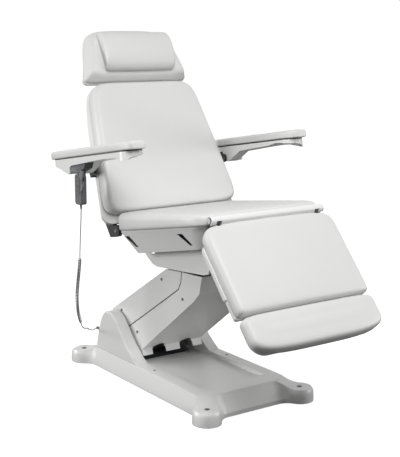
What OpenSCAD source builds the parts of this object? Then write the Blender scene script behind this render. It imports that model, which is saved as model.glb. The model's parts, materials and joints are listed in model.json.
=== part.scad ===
/* [Base] */
// Distance between the foot centres, side to side
foot_spacing_x = 460; // [400:1:520]
// Distance between the foot centres, front to back
foot_spacing_y = 964; // [860:1:1060]
// Radius of each rounded foot of the base cover
foot_r = 58; // [50:1:64]
// Height of the upright wall round a foot
foot_wall_h = 46; // [40:1:50]
// Height of the foot's top, where its cap sits
foot_top_h = 57; // [54:1:62]
// Height of the upright skirt between the feet
skirt_h = 19; // [12:1:30]
// Height of the flat top of the base cover
base_top_h = 85; // [80:1:92]
// Depth of the tray that the lift arm folds into
tray_depth = 17; // [12:1:19]
// Wall of the moulded covers
cover_wall = 3; // [2.5:0.5:4]
// Height of the side cheeks above the base cover
cheek_h = 182; // [172:1:196]
// Length of the side cheeks
cheek_len = 350; // [335:1:356]
// Thickness of one side cheek
cheek_w = 55; // [48:1:60]
/* [Lift] */
// Height of the lift arm's lower pivot
lift_pivot_z = 165; // [160:1:170]
// Set-back of the lift arm's lower pivot
lift_pivot_y = 235; // [230:1:240]
// Horizontal reach of the lift arm
lift_reach_y = 475; // [460:1:490]
// Vertical reach of the lift arm
lift_reach_z = 355; // [345:1:370]
// Half the width of the lift arm's cover
casing_half_w = 153; // [148:1:155]
// Radius of the lift and tilt shafts
shaft_r = 10; // [8:0.5:11]
/* [Seat] */
// Tilt of the seat, front edge up
seat_tilt = 10.3; // [9.5:0.1:11]
// Height of the tilt pivot above the arm's upper pivot
tilt_pivot_up = 105; // [102:1:110]
// Length of the seat pad
seat_pad_len = 611; // [605:1:614]
// Half the width of the seat pad
seat_half_w = 300; // [290:1:304]
// Thickness of the seat pad at its rear
seat_pad_rear_h = 77; // [70:1:79]
// Thickness of the seat pad at its front
seat_pad_front_h = 46; // [42:1:52]
// Depth of the upper seat cover
upper_tub_h = 92; // [90:1:96]
/* [Backrest] */
// Lean of the backrest from upright
back_lean = 27; // [26:0.5:29]
// Height of the backrest pad's top above its hinge
back_len = 640; // [620:1:646]
// Half the width of the backrest at its lower end
back_half_low = 334; // [322:1:338]
// Half the width of the backrest at its upper end
back_half_high = 254; // [246:1:262]
// Thickness of the backrest pad
back_pad_h = 58; // [50:1:60]
/* [Headrest] */
// Length of the headrest pad
head_len = 243; // [230:1:250]
// Half the width of the headrest at its lower end
head_half_low = 262; // [250:1:270]
// Half the width of the headrest at its upper end
head_half_high = 205; // [195:1:220]
// Thickness of the headrest pad
head_pad_h = 52; // [44:1:58]
// Width of the neck pillow
pillow_w = 340; // [320:1:360]
// Height of the neck pillow along the headrest
pillow_len = 178; // [160:1:190]
// Thickness of the neck pillow
pillow_h = 42; // [36:1:48]
/* [Legrest] */
// Slope of the legrest below the level
leg_slope = 49; // [47:1:51]
// Length of the legrest pad
leg_pad_len = 366; // [350:1:368]
// Half the width of the legrest pad
leg_half_w = 305; // [296:1:308]
// Thickness of the legrest pad
leg_pad_h = 50; // [46:1:52]
// Length of the foot pad
foot_pad_len = 145; // [130:1:160]
// Half the width of the foot pad
foot_pad_half_w = 302; // [290:1:306]
// Radius of the hinge bar between seat and legrest
hinge_bar_r = 7.5; // [6.5:0.5:8]
/* [Armrests] */
// Height of the armrest pivot up the backrest
arm_pivot_up = 268; // [260:1:276]
// Rise of the armrest towards its front
arm_slope = 9; // [8:0.5:10]
// Length of the armrest ahead of its pivot
arm_len = 480; // [470:1:490]
// Width of an armrest
arm_w = 95; // [88:1:98]
// Distance from the middle to an armrest's centre
arm_centre_x = 392.5; // [390:0.5:400]
/* [Handset] */
// Length of the hand control
handset_len = 122; // [112:1:128]
// Width of the hand control
handset_w = 50; // [46:1:52]
// Thickness of the hand control
handset_t = 26; // [22:1:27]
// Diameter of the control cord
cord_d = 4; // [3.5:0.1:4.4]
// Outer diameter of the curly part of the cord
coil_d = 15; // [13:0.1:16]
// Number of curls in the cord
curls = 44; // [38:1:46]
/* [Fits] */
// Radial running clearance of a shaft in its bore
fit = 0.05; // [0.03:0.01:0.08]
// Gap left between neighbouring pieces
seam = 0.3; // [0.3:0.05:0.6]
// Radial clearance where a linkage pivot is left open
open_fit = 4; // [3.6:0.1:4.5]

/* [Hidden] */
$fn = 48;
// Overrun of a cut past the face it opens
over = 1;
// Colours of the finishes
white_hide = [0.90, 0.90, 0.89];
white_abs = [0.93, 0.93, 0.92];
grey_abs = [0.50, 0.51, 0.52];
black_abs = [0.10, 0.10, 0.11];
steel = [0.62, 0.63, 0.65];
dark_steel = [0.28, 0.29, 0.30];

// Places of the two lower lift pivots, as [y, z]
arm_foot = [lift_pivot_y, lift_pivot_z];
link_set_y = 40;
link_set_z = 70;
link_foot = arm_foot + [link_set_y, link_set_z];
reach = [-lift_reach_y, lift_reach_z];
arm_head = arm_foot + reach;
link_head = link_foot + reach;
tilt_set_y = 15;
tilt_pivot = arm_head + [-tilt_set_y, tilt_pivot_up];
// The back hinge lies behind and above the tilt pivot, measured along and square to the seat
back_behind_tilt = 332;
back_above_tilt = 101;
back_hinge = tilt_pivot
    + back_behind_tilt * [cos(seat_tilt), -sin(seat_tilt)]
    + back_above_tilt * [sin(seat_tilt), cos(seat_tilt)];
// The leg hinge ahead of the back hinge, along the seat and square to it
leg_hinge_f = seat_pad_len + 38;
leg_hinge_n = 16;
leg_hinge = back_hinge
    + leg_hinge_f * [-cos(seat_tilt), sin(seat_tilt)]
    + leg_hinge_n * [sin(seat_tilt), cos(seat_tilt)];
// The armrest pivot ahead of the back hinge's plane
arm_pivot_m = 24;
arm_pivot = back_hinge
    + arm_pivot_up * [sin(back_lean), cos(back_lean)]
    + arm_pivot_m * [-cos(back_lean), sin(back_lean)];

// Extrudes an outline drawn in [y, z] from x0 to x1
module across(x0, x1) {
    translate([x0, 0, 0]) rotate([90, 0, 90]) linear_extrude(x1 - x0) children();
}
// A round bar along x
module rod_x(p, r, x0, x1) {
    translate([x0, p[0], p[1]]) rotate([0, 90, 0]) cylinder(r = r, h = x1 - x0);
}
module both() {
    children();
    mirror([1, 0, 0]) children();
}
// Outline of a flat bar with round ends, in [y, z]
link_waist = 0.95;
module link_outline(p, q, r) {
    d = q - p;
    w = r * link_waist;
    translate(p) circle(r);
    translate(q) circle(r);
    translate(p) rotate(atan2(d[1], d[0])) translate([0, -w]) square([norm(d), 2 * w]);
}
module box(x0, x1, y0, y1, z0, z1) {
    translate([x0, y0, z0]) cube([x1 - x0, y1 - y0, z1 - z0]);
}
// A rectangle with round corners, centred
module round_rect(w, l, r) {
    square([w - 2 * r, l], center = true);
    square([w, l - 2 * r], center = true);
    for (sx = [-1, 1]) {
        for (sy = [-1, 1]) {
            translate([sx * (w / 2 - r), sy * (l / 2 - r)]) circle(r);
        }
    }
}
// Shares of a size turned into points from an origin
function spread(shares, size, from = [0, 0]) =
    [for (s = shares) [from[0] + s[0] * size[0], from[1] + s[1] * size[1]]];
// A line moved sideways by t, keeping its corners
function side_step(p, t) = [for (i = [0:len(p) - 1])
    let (
        a = p[max(i - 1, 0)],
        b = p[min(i + 1, len(p) - 1)],
        d0 = i > 0 ? (p[i] - a) / norm(p[i] - a) : (b - p[i]) / norm(b - p[i]),
        d1 = i < len(p) - 1 ? (b - p[i]) / norm(b - p[i]) : d0,
        n = [-(d0[1] + d1[1]), d0[0] + d1[0]],
        u = n / norm(n),
        share = u * [-d0[1], d0[0]]
    ) p[i] + u * t / share];
function backwards(p) = [for (i = [len(p) - 1:-1:0]) p[i]];
// Outline of a wall of thickness t along a line
function wall(p, t) = concat(p, backwards(side_step(p, t)));

module in_seat() {
    translate([0, back_hinge[0], back_hinge[1]]) rotate([-seat_tilt, 0, 0]) children();
}
module in_back() {
    translate([0, back_hinge[0], back_hinge[1]]) rotate([-back_lean, 0, 0]) children();
}
module in_leg() {
    translate([0, leg_hinge[0], leg_hinge[1]]) rotate([leg_slope - 90, 0, 0]) children();
}
module in_arm() {
    translate([0, arm_pivot[0], arm_pivot[1]]) rotate([-arm_slope, 0, 0]) children();
}

// A closed solid through rings of equal count, the first ring lowest
module skin(rings) {
    n = len(rings[0]);
    last = len(rings) - 1;
    pts = [for (r = rings) for (p = r) p];
    sides = [for (k = [0:last - 1]) for (i = [0:n - 1]) let (j = (i + 1) % n) each [
        [k * n + i, (k + 1) * n + i, k * n + j],
        [k * n + j, (k + 1) * n + i, (k + 1) * n + j]
    ]];
    under = [[for (i = [0:n - 1]) i]];
    top = [[for (i = [n - 1:-1:0]) last * n + i]];
    polyhedron(points = pts, faces = concat(under, sides, top), convexity = 6);
}

// A cushion lying in the xy plane, crowned upward: half sizes, taper of the half width along y,
// and rings as [share of the edge radius drawn in, share of the height]
cushion_points = 32;
cushion_rings_shares = [
    [0.15, 0.00], [0.00, 0.12], [0.00, 0.48], [0.05, 0.70], [0.30, 0.89], [0.90, 0.97], [2.60, 1.00]
];
wing_rings_shares = [
    [0.10, 0.00], [0.00, 0.08], [0.04, 0.26], [0.30, 0.52], [0.72, 0.80], [1.50, 0.95], [3.20, 1.00]
];
function squircle(i, n, e) = let (c = cos(360 * i / n), s = sin(360 * i / n), k = s < 0 ? e[0] : e[1])
    [sign(c) * pow(abs(c), 2 / k), sign(s) * pow(abs(s), 2 / k)];
// Corner sharpness is a pair: at the low end and at the high end
module cushion(half_w, half_l, taper, h_low, h_high, edge, bolster, power, rings = cushion_rings_shares) {
    n = cushion_points;
    function depth(y) = h_low + (h_high - h_low) * (y + half_l) / (2 * half_l);
    function lift(x, y, share) = share * depth(y)
        + (share > 0.5 ? bolster * pow(min(abs(x) / half_w, 1), 4) * (2 * share - 1) : 0);
    function spot(i, r) = let (
        u = squircle(i, n, power),
        y = u[1] * (half_l - r[0] * edge),
        x = u[0] * (half_w + taper * y - r[0] * edge)
    ) [x, y, lift(x, y, r[1])];
    pts = [for (r = rings) for (i = [0:n - 1]) spot(i, r)];
    last = len(rings) - 1;
    sides = [for (k = [0:last - 1]) for (i = [0:n - 1]) let (j = (i + 1) % n) each [
        [k * n + i, (k + 1) * n + i, k * n + j],
        [k * n + j, (k + 1) * n + i, (k + 1) * n + j]
    ]];
    mid = len(pts);
    ends = [for (i = [0:n - 1]) let (j = (i + 1) % n) each [
        [i, j, mid], [last * n + j, last * n + i, mid + 1]
    ]];
    polyhedron(points = concat(pts, [[0, 0, 0], [0, 0, depth(0)]]), faces = concat(sides, ends),
        convexity = 6);
}

// A tube through a line of points, its section carried along without twist
function unit(v) = v / norm(v);
function steer(p, i) = unit(p[min(i + 1, len(p) - 1)] - p[max(i - 1, 0)]);
function carried(p, first) = [
    for (i = 0, v = unit(first - (first * steer(p, 0)) * steer(p, 0)); i < len(p);
        i = i + 1,
        t = i < len(p) ? steer(p, i) : [0, 0, 1],
        v = unit(v - (v * t) * t)) v
];
module tube(p, r, sides, first) {
    side = carried(p, first);
    rings = [for (i = [0:len(p) - 1])
        let (t = steer(p, i), u = side[i], w = cross(t, u))
        [for (k = [0:sides - 1]) p[i] + r * (cos(360 * k / sides) * u + sin(360 * k / sides) * w)]];
    skin(rings);
}
// A smooth line through hand-placed points, with a number of steps in each span
function smooth_line(p, steps) = concat(
    [for (i = [0:len(p) - 2]) let (
        a = i > 0 ? p[i - 1] : 2 * p[0] - p[1],
        b = p[i],
        c = p[i + 1],
        d = i < len(p) - 2 ? p[i + 2] : 2 * c - b
    ) for (k = [0:steps - 1]) let (t = k / steps)
        0.5 * (2 * b + t * (c - a) + t * t * (2 * a - 5 * b + 4 * c - d)
            + t * t * t * (3 * b - a - 3 * c + d))],
    [p[len(p) - 1]]);

// Base cover: a bevelled body on a waisted skirt, with a foot at each corner
cover_half_x = 230;
cover_half_y = 478;
plateau_half_x = 216;
plateau_half_y = 432;
plateau_r = 80;
waist_r = 60;
cover_lift = 2;
edge_round = 5;
arc_steps = 6;
foot_at = [foot_spacing_x / 2, foot_spacing_y / 2];
function arc(c, r, a0, a1, steps) = [for (i = [0:steps]) let (a = a0 + (a1 - a0) * i / steps)
    [c[0] + r * cos(a), c[1] + r * sin(a)]];
// One quarter of the waisted outline: from a side round the foot to an end
function waist_quarter(hx, hy, r) = let (
    near = pow(r + waist_r, 2),
    s = [hx + waist_r, foot_at[1] - sqrt(near - pow(hx + waist_r - foot_at[0], 2))],
    e = [foot_at[0] - sqrt(near - pow(hy + waist_r - foot_at[1], 2)), hy + waist_r],
    a = atan2(foot_at[1] - s[1], foot_at[0] - s[0]),
    b = atan2(e[1] - foot_at[1], e[0] - foot_at[0]),
    toe = arc(foot_at, r, a - 180, b, 2 * arc_steps)
) concat(arc(s, waist_r, 180, a, arc_steps), [for (i = [1:2 * arc_steps - 1]) toe[i]],
    arc(e, waist_r, b - 180, -90, arc_steps));
function waist_ring(hx, hy, r, z) = let (q = waist_quarter(hx, hy, r)) [for (p = concat(
    q, backwards([for (c = q) [-c[0], c[1]]]), [for (c = q) -c], backwards([for (c = q) [c[0], -c[1]]])
)) [p[0], p[1], z]];
// A ring of points at height z: corners of radius r on a rectangle of half sizes hx and hy
function plan_ring(hx, hy, r, z) = [for (p = concat(
    arc([hx - r, hy - r], r, 0, 90, corner_steps),
    arc([-hx + r, hy - r], r, 90, 180, corner_steps),
    arc([-hx + r, -hy + r], r, 180, 270, corner_steps),
    arc([hx - r, -hy + r], r, 270, 360, corner_steps))) [p[0], p[1], z]];
tongue_turn = -127;
module cover_form() {
    shoulder = base_top_h - edge_round / 2;
    rise = shoulder - foot_top_h;
    reach = 6 * foot_r;
    walls = [
        [cover_lift, 0], [skirt_h, 0], [foot_wall_h - edge_round, edge_round / 5],
        [foot_wall_h + edge_round, edge_round], [foot_top_h, 1.6 * edge_round], [shoulder, 2 * edge_round]
    ];
    skin([
        plan_ring(cover_half_x, cover_half_y, edge_round, cover_lift),
        plan_ring(cover_half_x, cover_half_y, edge_round, skirt_h),
        plan_ring(plateau_half_x, plateau_half_y, plateau_r, shoulder),
        plan_ring(plateau_half_x - edge_round, plateau_half_y - edge_round, plateau_r - edge_round, base_top_h)
    ]);
    intersection() {
        skin([for (w = walls) let (k = max(0, w[0] - skirt_h) / (shoulder - skirt_h)) waist_ring(
            cover_half_x - k * (cover_half_x - plateau_half_x), cover_half_y - k * (cover_half_y - plateau_half_y),
            foot_r - w[1], w[0])]);
        for (sx = [-1, 1]) {
            for (sy = [-1, 1]) {
                scale([sx, sy, 1]) translate(foot_at) rotate([90, 0, tongue_turn])
                    linear_extrude(4 * foot_r, center = true) polygon([
                        [-foot_r, 0], [-foot_r, foot_wall_h - edge_round],
                        [-foot_r + edge_round, foot_wall_h + edge_round], [-foot_r / 1.5, foot_top_h],
                        [foot_r / 4, foot_top_h], [0.75 * foot_r, foot_top_h + rise / 3],
                        [1.5 * foot_r, shoulder], [reach, shoulder], [reach, 0]
                    ]);
            }
        }
    }
}
tray_half_w = casing_half_w + 5;
tray_front = 345;
tray_rear = 370;
tray_corner = 18;
plate_gap = seam / 2;
frame_half_x = 198;
frame_half_y = 402;
frame_z = 10;
frame_t = 8;
arm_plate_w = 60;
foot_pocket_r = 34;
well_half_w = 132;
well_front = 146;
well_rear = 346;
cap_r = 10;
cap_h = 4;
cap_stand = 1.5;
trim_r = 5;
trim_x = 187;
trim_y = -45;
module frame_outline(grow) {
    square([2 * (frame_half_x + grow), 2 * (frame_half_y + grow)], center = true);
    for (sx = [-1, 1]) {
        for (sy = [-1, 1]) {
            arm = arm_plate_w / 2 + grow;
            rotate_to = atan2(sy * foot_at[1] - sy * frame_half_y / 2, sx * foot_at[0] - sx * frame_half_x / 2);
            start = [sx * frame_half_x / 2, sy * frame_half_y / 2];
            finish = [sx * foot_at[0], sy * foot_at[1]];
            translate(start) rotate(rotate_to) translate([0, -arm]) square([norm(finish - start), 2 * arm]);
            translate(finish) circle(foot_pocket_r + grow);
        }
    }
}
module base_cover() {
    ceiling = base_top_h - tray_depth - cover_wall;
    color(white_abs) difference() {
        cover_form();
        translate([0, 0, -over]) linear_extrude(foot_wall_h - cover_wall + over) frame_outline(plate_gap);
        box(-frame_half_x, frame_half_x, -frame_half_y, frame_half_y, -over, ceiling);
        translate([0, (tray_rear - tray_front) / 2, base_top_h - tray_depth]) linear_extrude(tray_depth + over)
            round_rect(2 * tray_half_w, tray_rear + tray_front, tray_corner);
        box(-well_half_w, well_half_w, well_front, well_rear, 0, base_top_h);
        for (sx = [-1, 1]) {
            for (sy = [-1, 1]) {
                translate([sx * foot_at[0], sy * foot_at[1], foot_top_h - cap_h + cap_stand])
                    cylinder(r = cap_r + fit, h = cap_h + over);
            }
            translate([sx * trim_x, trim_y, base_top_h - cap_h + cap_stand])
                cylinder(r = trim_r + fit, h = cap_h + over);
        }
    }
}
module foot_caps() {
    color(grey_abs) for (sx = [-1, 1]) {
        for (sy = [-1, 1]) {
            translate([sx * foot_at[0], sy * foot_at[1], foot_top_h - cap_h + cap_stand])
                cylinder(r = cap_r, h = cap_h);
        }
        translate([sx * trim_x, trim_y, base_top_h - cap_h + cap_stand]) cylinder(r = trim_r, h = cap_h);
    }
}

// Steel base frame: floor plate with an arm to each foot, and the two pivot plates
pivot_plate_x = 116;
pivot_plate_t = 10;
pivot_boss_r = 26;
stem_r = 6;
module base_frame() {
    plate_top = frame_z + frame_t;
    toe_y = 48;
    color(dark_steel) difference() {
        union() {
            translate([0, 0, frame_z]) linear_extrude(frame_t) frame_outline(-plate_gap);
            both() across(pivot_plate_x, pivot_plate_x + pivot_plate_t) {
                link_outline(arm_foot, link_foot, pivot_boss_r);
                polygon([
                    [arm_foot[0] - pivot_boss_r - toe_y, plate_top],
                    [arm_foot[0] - pivot_boss_r, arm_foot[1]],
                    [link_foot[0] + pivot_boss_r, link_foot[1]],
                    [link_foot[0] + pivot_boss_r + toe_y / 2, plate_top]
                ]);
            }
        }
        for (p = [arm_foot, link_foot]) {
            rod_x(p, shaft_r + fit, -pivot_plate_x - 2 * pivot_plate_t, pivot_plate_x + 2 * pivot_plate_t);
        }
        for (sx = [-1, 1]) {
            for (sy = [-1, 1]) {
                translate([sx * foot_at[0], sy * foot_at[1], 0])
                    cylinder(r = stem_r + fit, h = plate_top + over);
            }
        }
    }
}
module lift_shafts() {
    half = pivot_plate_x + pivot_plate_t + 2;
    color(steel) for (p = [arm_foot, link_foot]) {
        rod_x(p, shaft_r, -half, half);
    }
}
module levelling_feet() {
    pad_r = 22;
    stem_h = 34;
    color(dark_steel) for (sx = [-1, 1]) {
        for (sy = [-1, 1]) {
            translate([sx * foot_at[0], sy * foot_at[1], 0]) {
                cylinder(r = pad_r, h = frame_z - seam);
                cylinder(r = stem_r, h = stem_h);
            }
        }
    }
}

// Side cheeks over the lower pivots
cheek_in = casing_half_w + 7;
cheek_front = 49;
cheek_shares = [
    [0.000, 0.000], [0.066, 0.068], [0.146, 0.178], [0.274, 0.365], [0.360, 0.540], [0.437, 0.705],
    [0.511, 0.848], [0.577, 0.942], [0.646, 0.991], [0.694, 1.000], [0.740, 0.988], [0.789, 0.942],
    [0.831, 0.870], [0.866, 0.771], [0.900, 0.640], [0.929, 0.486], [0.957, 0.300], [0.980, 0.145],
    [1.000, 0.000]
];
module cheek() {
    hollow = cheek_w - 2 * cover_wall;
    rim = 12;
    inner_len = cheek_len - 2 * cover_wall;
    inner_h = cheek_h - cover_wall;
    outer = spread(cheek_shares, [cheek_len, cheek_h], [cheek_front, base_top_h + seam]);
    slim = spread(cheek_shares, [cheek_len - rim, cheek_h - rim / 2], [cheek_front + rim / 2, base_top_h + seam]);
    color(white_abs) difference() {
        union() {
            across(cheek_in, cheek_in + cheek_w - rim / 2) polygon(outer);
            across(cheek_in, cheek_in + cheek_w) polygon(slim);
        }
        across(cheek_in + cover_wall, cheek_in + cover_wall + hollow)
            polygon(spread(cheek_shares, [inner_len - rim, inner_h - rim],
                [cheek_front + cover_wall + rim / 2, base_top_h - over]));
    }
}
module left_cheek() {
    cheek();
}
module right_cheek() {
    mirror([1, 0, 0]) cheek();
}
// Rear panel between the cheeks, clear of the arm cover's sweep
panel_shares = [[1.0, 0.0], [0.8, 0.35], [0.45, 0.7], [0.0, 1.0]];
panel_h = 104;
panel_in = 12;
panel_y = 386;
module rear_panel() {
    half = cheek_in - seam;
    line = spread(panel_shares, [panel_in, panel_h], [panel_y, base_top_h + seam]);
    inlet_hole = 15;
    color(white_abs) difference() {
        across(-half, half) polygon(wall(line, cover_wall));
        translate([inlet_x - inlet_w / 2 - seam, panel_y - panel_in, inlet_z - inlet_hole])
            cube([inlet_w + 2 * seam, 4 * panel_in, 2 * inlet_hole]);
    }
}
inlet_x = 70;
inlet_w = 48;
inlet_z = 130;
module mains_inlet() {
    depth = 34;
    half_h = 14.7;
    flange = 4;
    flange_t = 3;
    face_y = panel_y + panel_in + flange_t;
    pin_d = 5;
    cup = 3;
    color(black_abs) difference() {
        union() {
            box(inlet_x - inlet_w / 2, inlet_x + inlet_w / 2, face_y - depth, face_y, inlet_z - half_h, inlet_z + half_h);
            box(inlet_x - inlet_w / 2 - flange, inlet_x + inlet_w / 2 + flange,
                face_y, face_y + flange_t, inlet_z - half_h - flange, inlet_z + half_h + flange);
        }
        difference() {
            box(inlet_x - inlet_w / 2 + cup, inlet_x + inlet_w / 2 - cup,
                face_y - depth / 2, face_y + flange_t + over, inlet_z - half_h + cup, inlet_z + half_h - cup);
            for (k = [-1:1]) {
                translate([inlet_x + k * inlet_w / 4, face_y - depth / 2, inlet_z])
                    rotate([-90, 0, 0]) cylinder(d = pin_d, h = depth / 2);
            }
        }
    }
}
module control_box() {
    half_w = 150;
    front_y = -300;
    back_y = -60;
    low = frame_z + frame_t;
    high = base_top_h - tray_depth - cover_wall - 2;
    rib = 8;
    color(grey_abs) {
        box(-half_w, half_w, front_y, back_y, low, high - rib / 2);
        for (k = [-3:3]) {
            box(k * rib * 4 - rib / 2, k * rib * 4 + rib / 2, front_y + rib, back_y - rib, high - rib / 2, high);
        }
    }
}

// Cord entry on the rear of the right cheek
gland_at = [-190, 420, 160];
gland_mouth_x = -199;
gland_r = 6;
cheek_rear_y = 394;
module cord_gland() {
    nut_r = 9;
    nut_t = 5;
    neck_r = 4.6;
    color(grey_abs) {
        translate([gland_at[0], cheek_rear_y - nut_t, gland_at[2]]) rotate([-90, 0, 0])
            cylinder(r = gland_r, h = gland_at[1] - cheek_rear_y + nut_t + gland_r);
        rod_x([gland_at[1], gland_at[2]], neck_r, gland_mouth_x, gland_at[0]);
        translate([gland_at[0], cheek_rear_y + nut_t, gland_at[2]]) rotate([-90, 0, 0])
            cylinder(r = nut_r, h = nut_t);
    }
}

// Lift arm: two flat bars between the lower and the upper pivot, and cross tubes that carry its cover
arm_bar_x = 56;
arm_bar_t = 12;
arm_bar_r = 26;
cross_r = 10;
cross_places_shares = [0.58, 0.84];
cross_drop = 6;
module lift_arm() {
    side = [-reach[1], reach[0]] / norm(reach);
    color(dark_steel) {
        both() across(arm_bar_x, arm_bar_x + arm_bar_t) difference() {
            link_outline(arm_foot, arm_head, arm_bar_r);
            translate(arm_foot) circle(shaft_r + fit);
            translate(arm_head) circle(shaft_r + fit);
        }
        for (s = cross_places_shares) {
            p = arm_foot + s * reach + cross_drop * side;
            for (sx = [-1, 1]) {
                x0 = arm_bar_x + arm_bar_t;
                x1 = casing_half_w - cover_wall;
                rod_x(p, cross_r, sx > 0 ? x0 : -x1, sx > 0 ? x1 : -x0);
            }
            rod_x(p, cross_r, -arm_bar_x, arm_bar_x);
        }
    }
}
casing_top_shares = [[0.248, 0.265], [-0.667, 0.997]];
casing_front_shares = [[-0.297, -0.166], [-0.272, -0.090], [-1.084, 0.727], [-1.168, 0.837], [-1.208, 1.042]];
casing_seam_shares = [[-0.025, 0.107], [-0.648, 0.628], [-0.863, 0.811], [-0.899, 0.901], [-0.912, 1.025]];
casing_rear_shares = [[0.137, -0.155], [-0.074, -0.183]];
casing_size = [lift_reach_y, lift_reach_z];
casing_top = spread(casing_top_shares, casing_size, arm_foot);
casing_front = spread(casing_front_shares, casing_size, arm_foot);
casing_seam = spread(casing_seam_shares, casing_size, arm_foot);
casing_rear = spread(casing_rear_shares, casing_size, arm_foot);
casing_screw_shares = [[-0.604, 0.862], [0.078, 0.296], [-0.926, 0.715], [-0.194, 0.101]];
screw_r = 6;
screw_shank_r = 2.5;
module screw_holes() {
    for (p = spread(casing_screw_shares, casing_size, arm_foot)) {
        rod_x(p, screw_shank_r + fit, -casing_half_w - over, casing_half_w + over);
    }
}
module arm_cover_upper() {
    edge = side_step(casing_seam, -seam / 2);
    color(white_abs) difference() {
        union() {
            both() across(casing_half_w - cover_wall, casing_half_w)
                polygon(concat(casing_top, backwards(edge), [casing_rear[0]]));
            across(-casing_half_w, casing_half_w) polygon(wall(casing_top, cover_wall));
        }
        screw_holes();
    }
}
module arm_cover_lower() {
    edge = side_step(casing_seam, seam / 2);
    arch_x = 70;
    arch_r = 34;
    arch_top = 150;
    color(white_abs) difference() {
        union() {
            both() across(casing_half_w - cover_wall, casing_half_w)
                polygon(concat(edge, backwards(casing_front), [casing_rear[1], casing_rear[0] - [seam, 0]]));
            across(-casing_half_w, casing_half_w) polygon(wall(casing_front, -cover_wall));
        }
        screw_holes();
        both() translate([arch_x, 0, arch_top - arch_r]) rotate([90, 0, 0])
            translate([0, 0, -lift_pivot_y + pivot_boss_r]) {
                cylinder(r = arch_r, h = lift_pivot_y);
                translate([-arch_r, -arch_top, 0]) cube([2 * arch_r, arch_top, lift_pivot_y]);
            }
    }
}
module arm_cover_screws() {
    head_t = 2;
    color(grey_abs) both() for (p = spread(casing_screw_shares, casing_size, arm_foot)) {
        rod_x(p, screw_r, casing_half_w, casing_half_w + head_t);
        rod_x(p, screw_shank_r, casing_half_w - 2 * cover_wall, casing_half_w);
    }
}
link_bar_x = 88;
link_bar_t = 12;
link_bar_r = 20;
link_web = 9;
module lift_link() {
    color(dark_steel) both() across(link_bar_x, link_bar_x + link_bar_t) difference() {
        union() {
            link_outline(link_foot, link_head, link_web);
            translate(link_foot) circle(link_bar_r);
            translate(link_head) circle(link_bar_r);
        }
        translate(link_foot) circle(shaft_r + fit);
        translate(link_head) circle(shaft_r + 1);
    }
}

// Lift actuator along the diagonal of the linkage
drive_span = link_head - arm_foot;
drive_len = norm(drive_span);
drive_angle = atan2(drive_span[1], drive_span[0]);
drive_eye_r = 20;
drive_eye_w = 30;
drive_tube_r = 21;
drive_tube_start = 24;
drive_tube_end = 400;
drive_bore_start = 150;
rod_r = 9;
motor_r = 22;
motor_start = 40;
motor_len = 150;
motor_set = 44;
// Turns a local frame so that its y runs along the actuator, from the tail pivot
module along_drive() {
    translate([0, arm_foot[0], arm_foot[1]]) rotate([drive_angle, 0, 0]) children();
}
module y_rod(r, y0, y1, at = [0, 0]) {
    translate([at[0], y0, at[1]]) rotate([-90, 0, 0]) cylinder(r = r, h = y1 - y0);
}
module lift_actuator() {
    gear_h = 30;
    color(dark_steel) along_drive() difference() {
        union() {
            y_rod(drive_tube_r, drive_tube_start, drive_tube_end);
            rod_x([0, 0], drive_eye_r, -drive_eye_w / 2, drive_eye_w / 2);
            y_rod(motor_r, motor_start, motor_start + motor_len, [0, motor_set]);
            box(-motor_r, motor_r, drive_tube_start, drive_tube_start + gear_h, -drive_tube_r, motor_set + motor_r);
            y_rod(shaft_r, 0, drive_tube_start + over);
        }
        rod_x([0, 0], shaft_r + fit, -drive_eye_w, drive_eye_w);
        y_rod(rod_r + fit, drive_bore_start, drive_tube_end + over);
    }
}
module lift_rod() {
    tip_gap = 40;
    color(steel) along_drive() difference() {
        union() {
            y_rod(rod_r, drive_bore_start + tip_gap, drive_len);
            rod_x([drive_len, 0], shaft_r + 2 * open_fit, -drive_eye_w / 2, drive_eye_w / 2);
        }
        rod_x([drive_len, 0], shaft_r + open_fit, -drive_eye_w, drive_eye_w);
    }
}

// Carriage that the linkage keeps level
carriage_x = 116;
carriage_t = 10;
carriage_boss_r = 24;
deck_z = 95;
deck_t = 8;
deck_front = 182;
deck_rear = 48;
lug_x = 136;
lug_t = 12;
shaft_end = 2;
module carriage_frame() {
    x1 = carriage_x + carriage_t;
    deck_low = arm_head[1] + deck_z;
    outrigger_r = 8;
    reach_x = tub_half_w - cover_wall;
    color(dark_steel) difference() {
        union() {
            both() across(carriage_x, x1) {
                translate(arm_head) circle(carriage_boss_r);
                translate(link_head) circle(carriage_boss_r);
                translate(tilt_pivot) circle(carriage_boss_r);
                polygon([
                    arm_head + [-carriage_boss_r, 0], arm_head + [carriage_boss_r, 0],
                    link_head + [carriage_boss_r, 0], tilt_pivot + [carriage_boss_r, carriage_boss_r / 2],
                    tilt_pivot + [-carriage_boss_r, 0]
                ]);
                translate([arm_head[0] - deck_front, deck_low - 2 * deck_t])
                    square([deck_front, 3 * deck_t]);
            }
            box(-x1, x1, arm_head[0] - deck_front, arm_head[0] - deck_rear, deck_low, deck_low + deck_t);
            both() rod_x([arm_head[0] - deck_front + 3 * outrigger_r, deck_low - outrigger_r],
                outrigger_r, x1, reach_x);
            both() rod_x([arm_head[0] - deck_rear - outrigger_r, deck_low - outrigger_r],
                outrigger_r, x1, reach_x);
            rod_x(arm_head, shaft_r, -x1 - shaft_end, x1 + shaft_end);
            rod_x(link_head, shaft_r, -x1 - shaft_end, x1 + shaft_end);
            rod_x(tilt_pivot, shaft_r, -lug_x - lug_t - shaft_end, lug_x + lug_t + shaft_end);
        }
        translate([0, push_y, deck_low - over]) cylinder(r = rod_r + fit, h = deck_t + 2 * over);
    }
}
tub_half_w = 195;
tub_set_y = 212;
tub_set_z = 15;
tub_len = 460;
tub_deep = 140;
tub_low_shares = [
    [0.996, 0.300], [0.974, 0.221], [0.874, 0.036], [0.800, 0.000], [0.652, 0.036], [0.098, 0.186],
    [0.022, 0.257], [0.009, 0.464], [0.002, 0.985]
];
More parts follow.
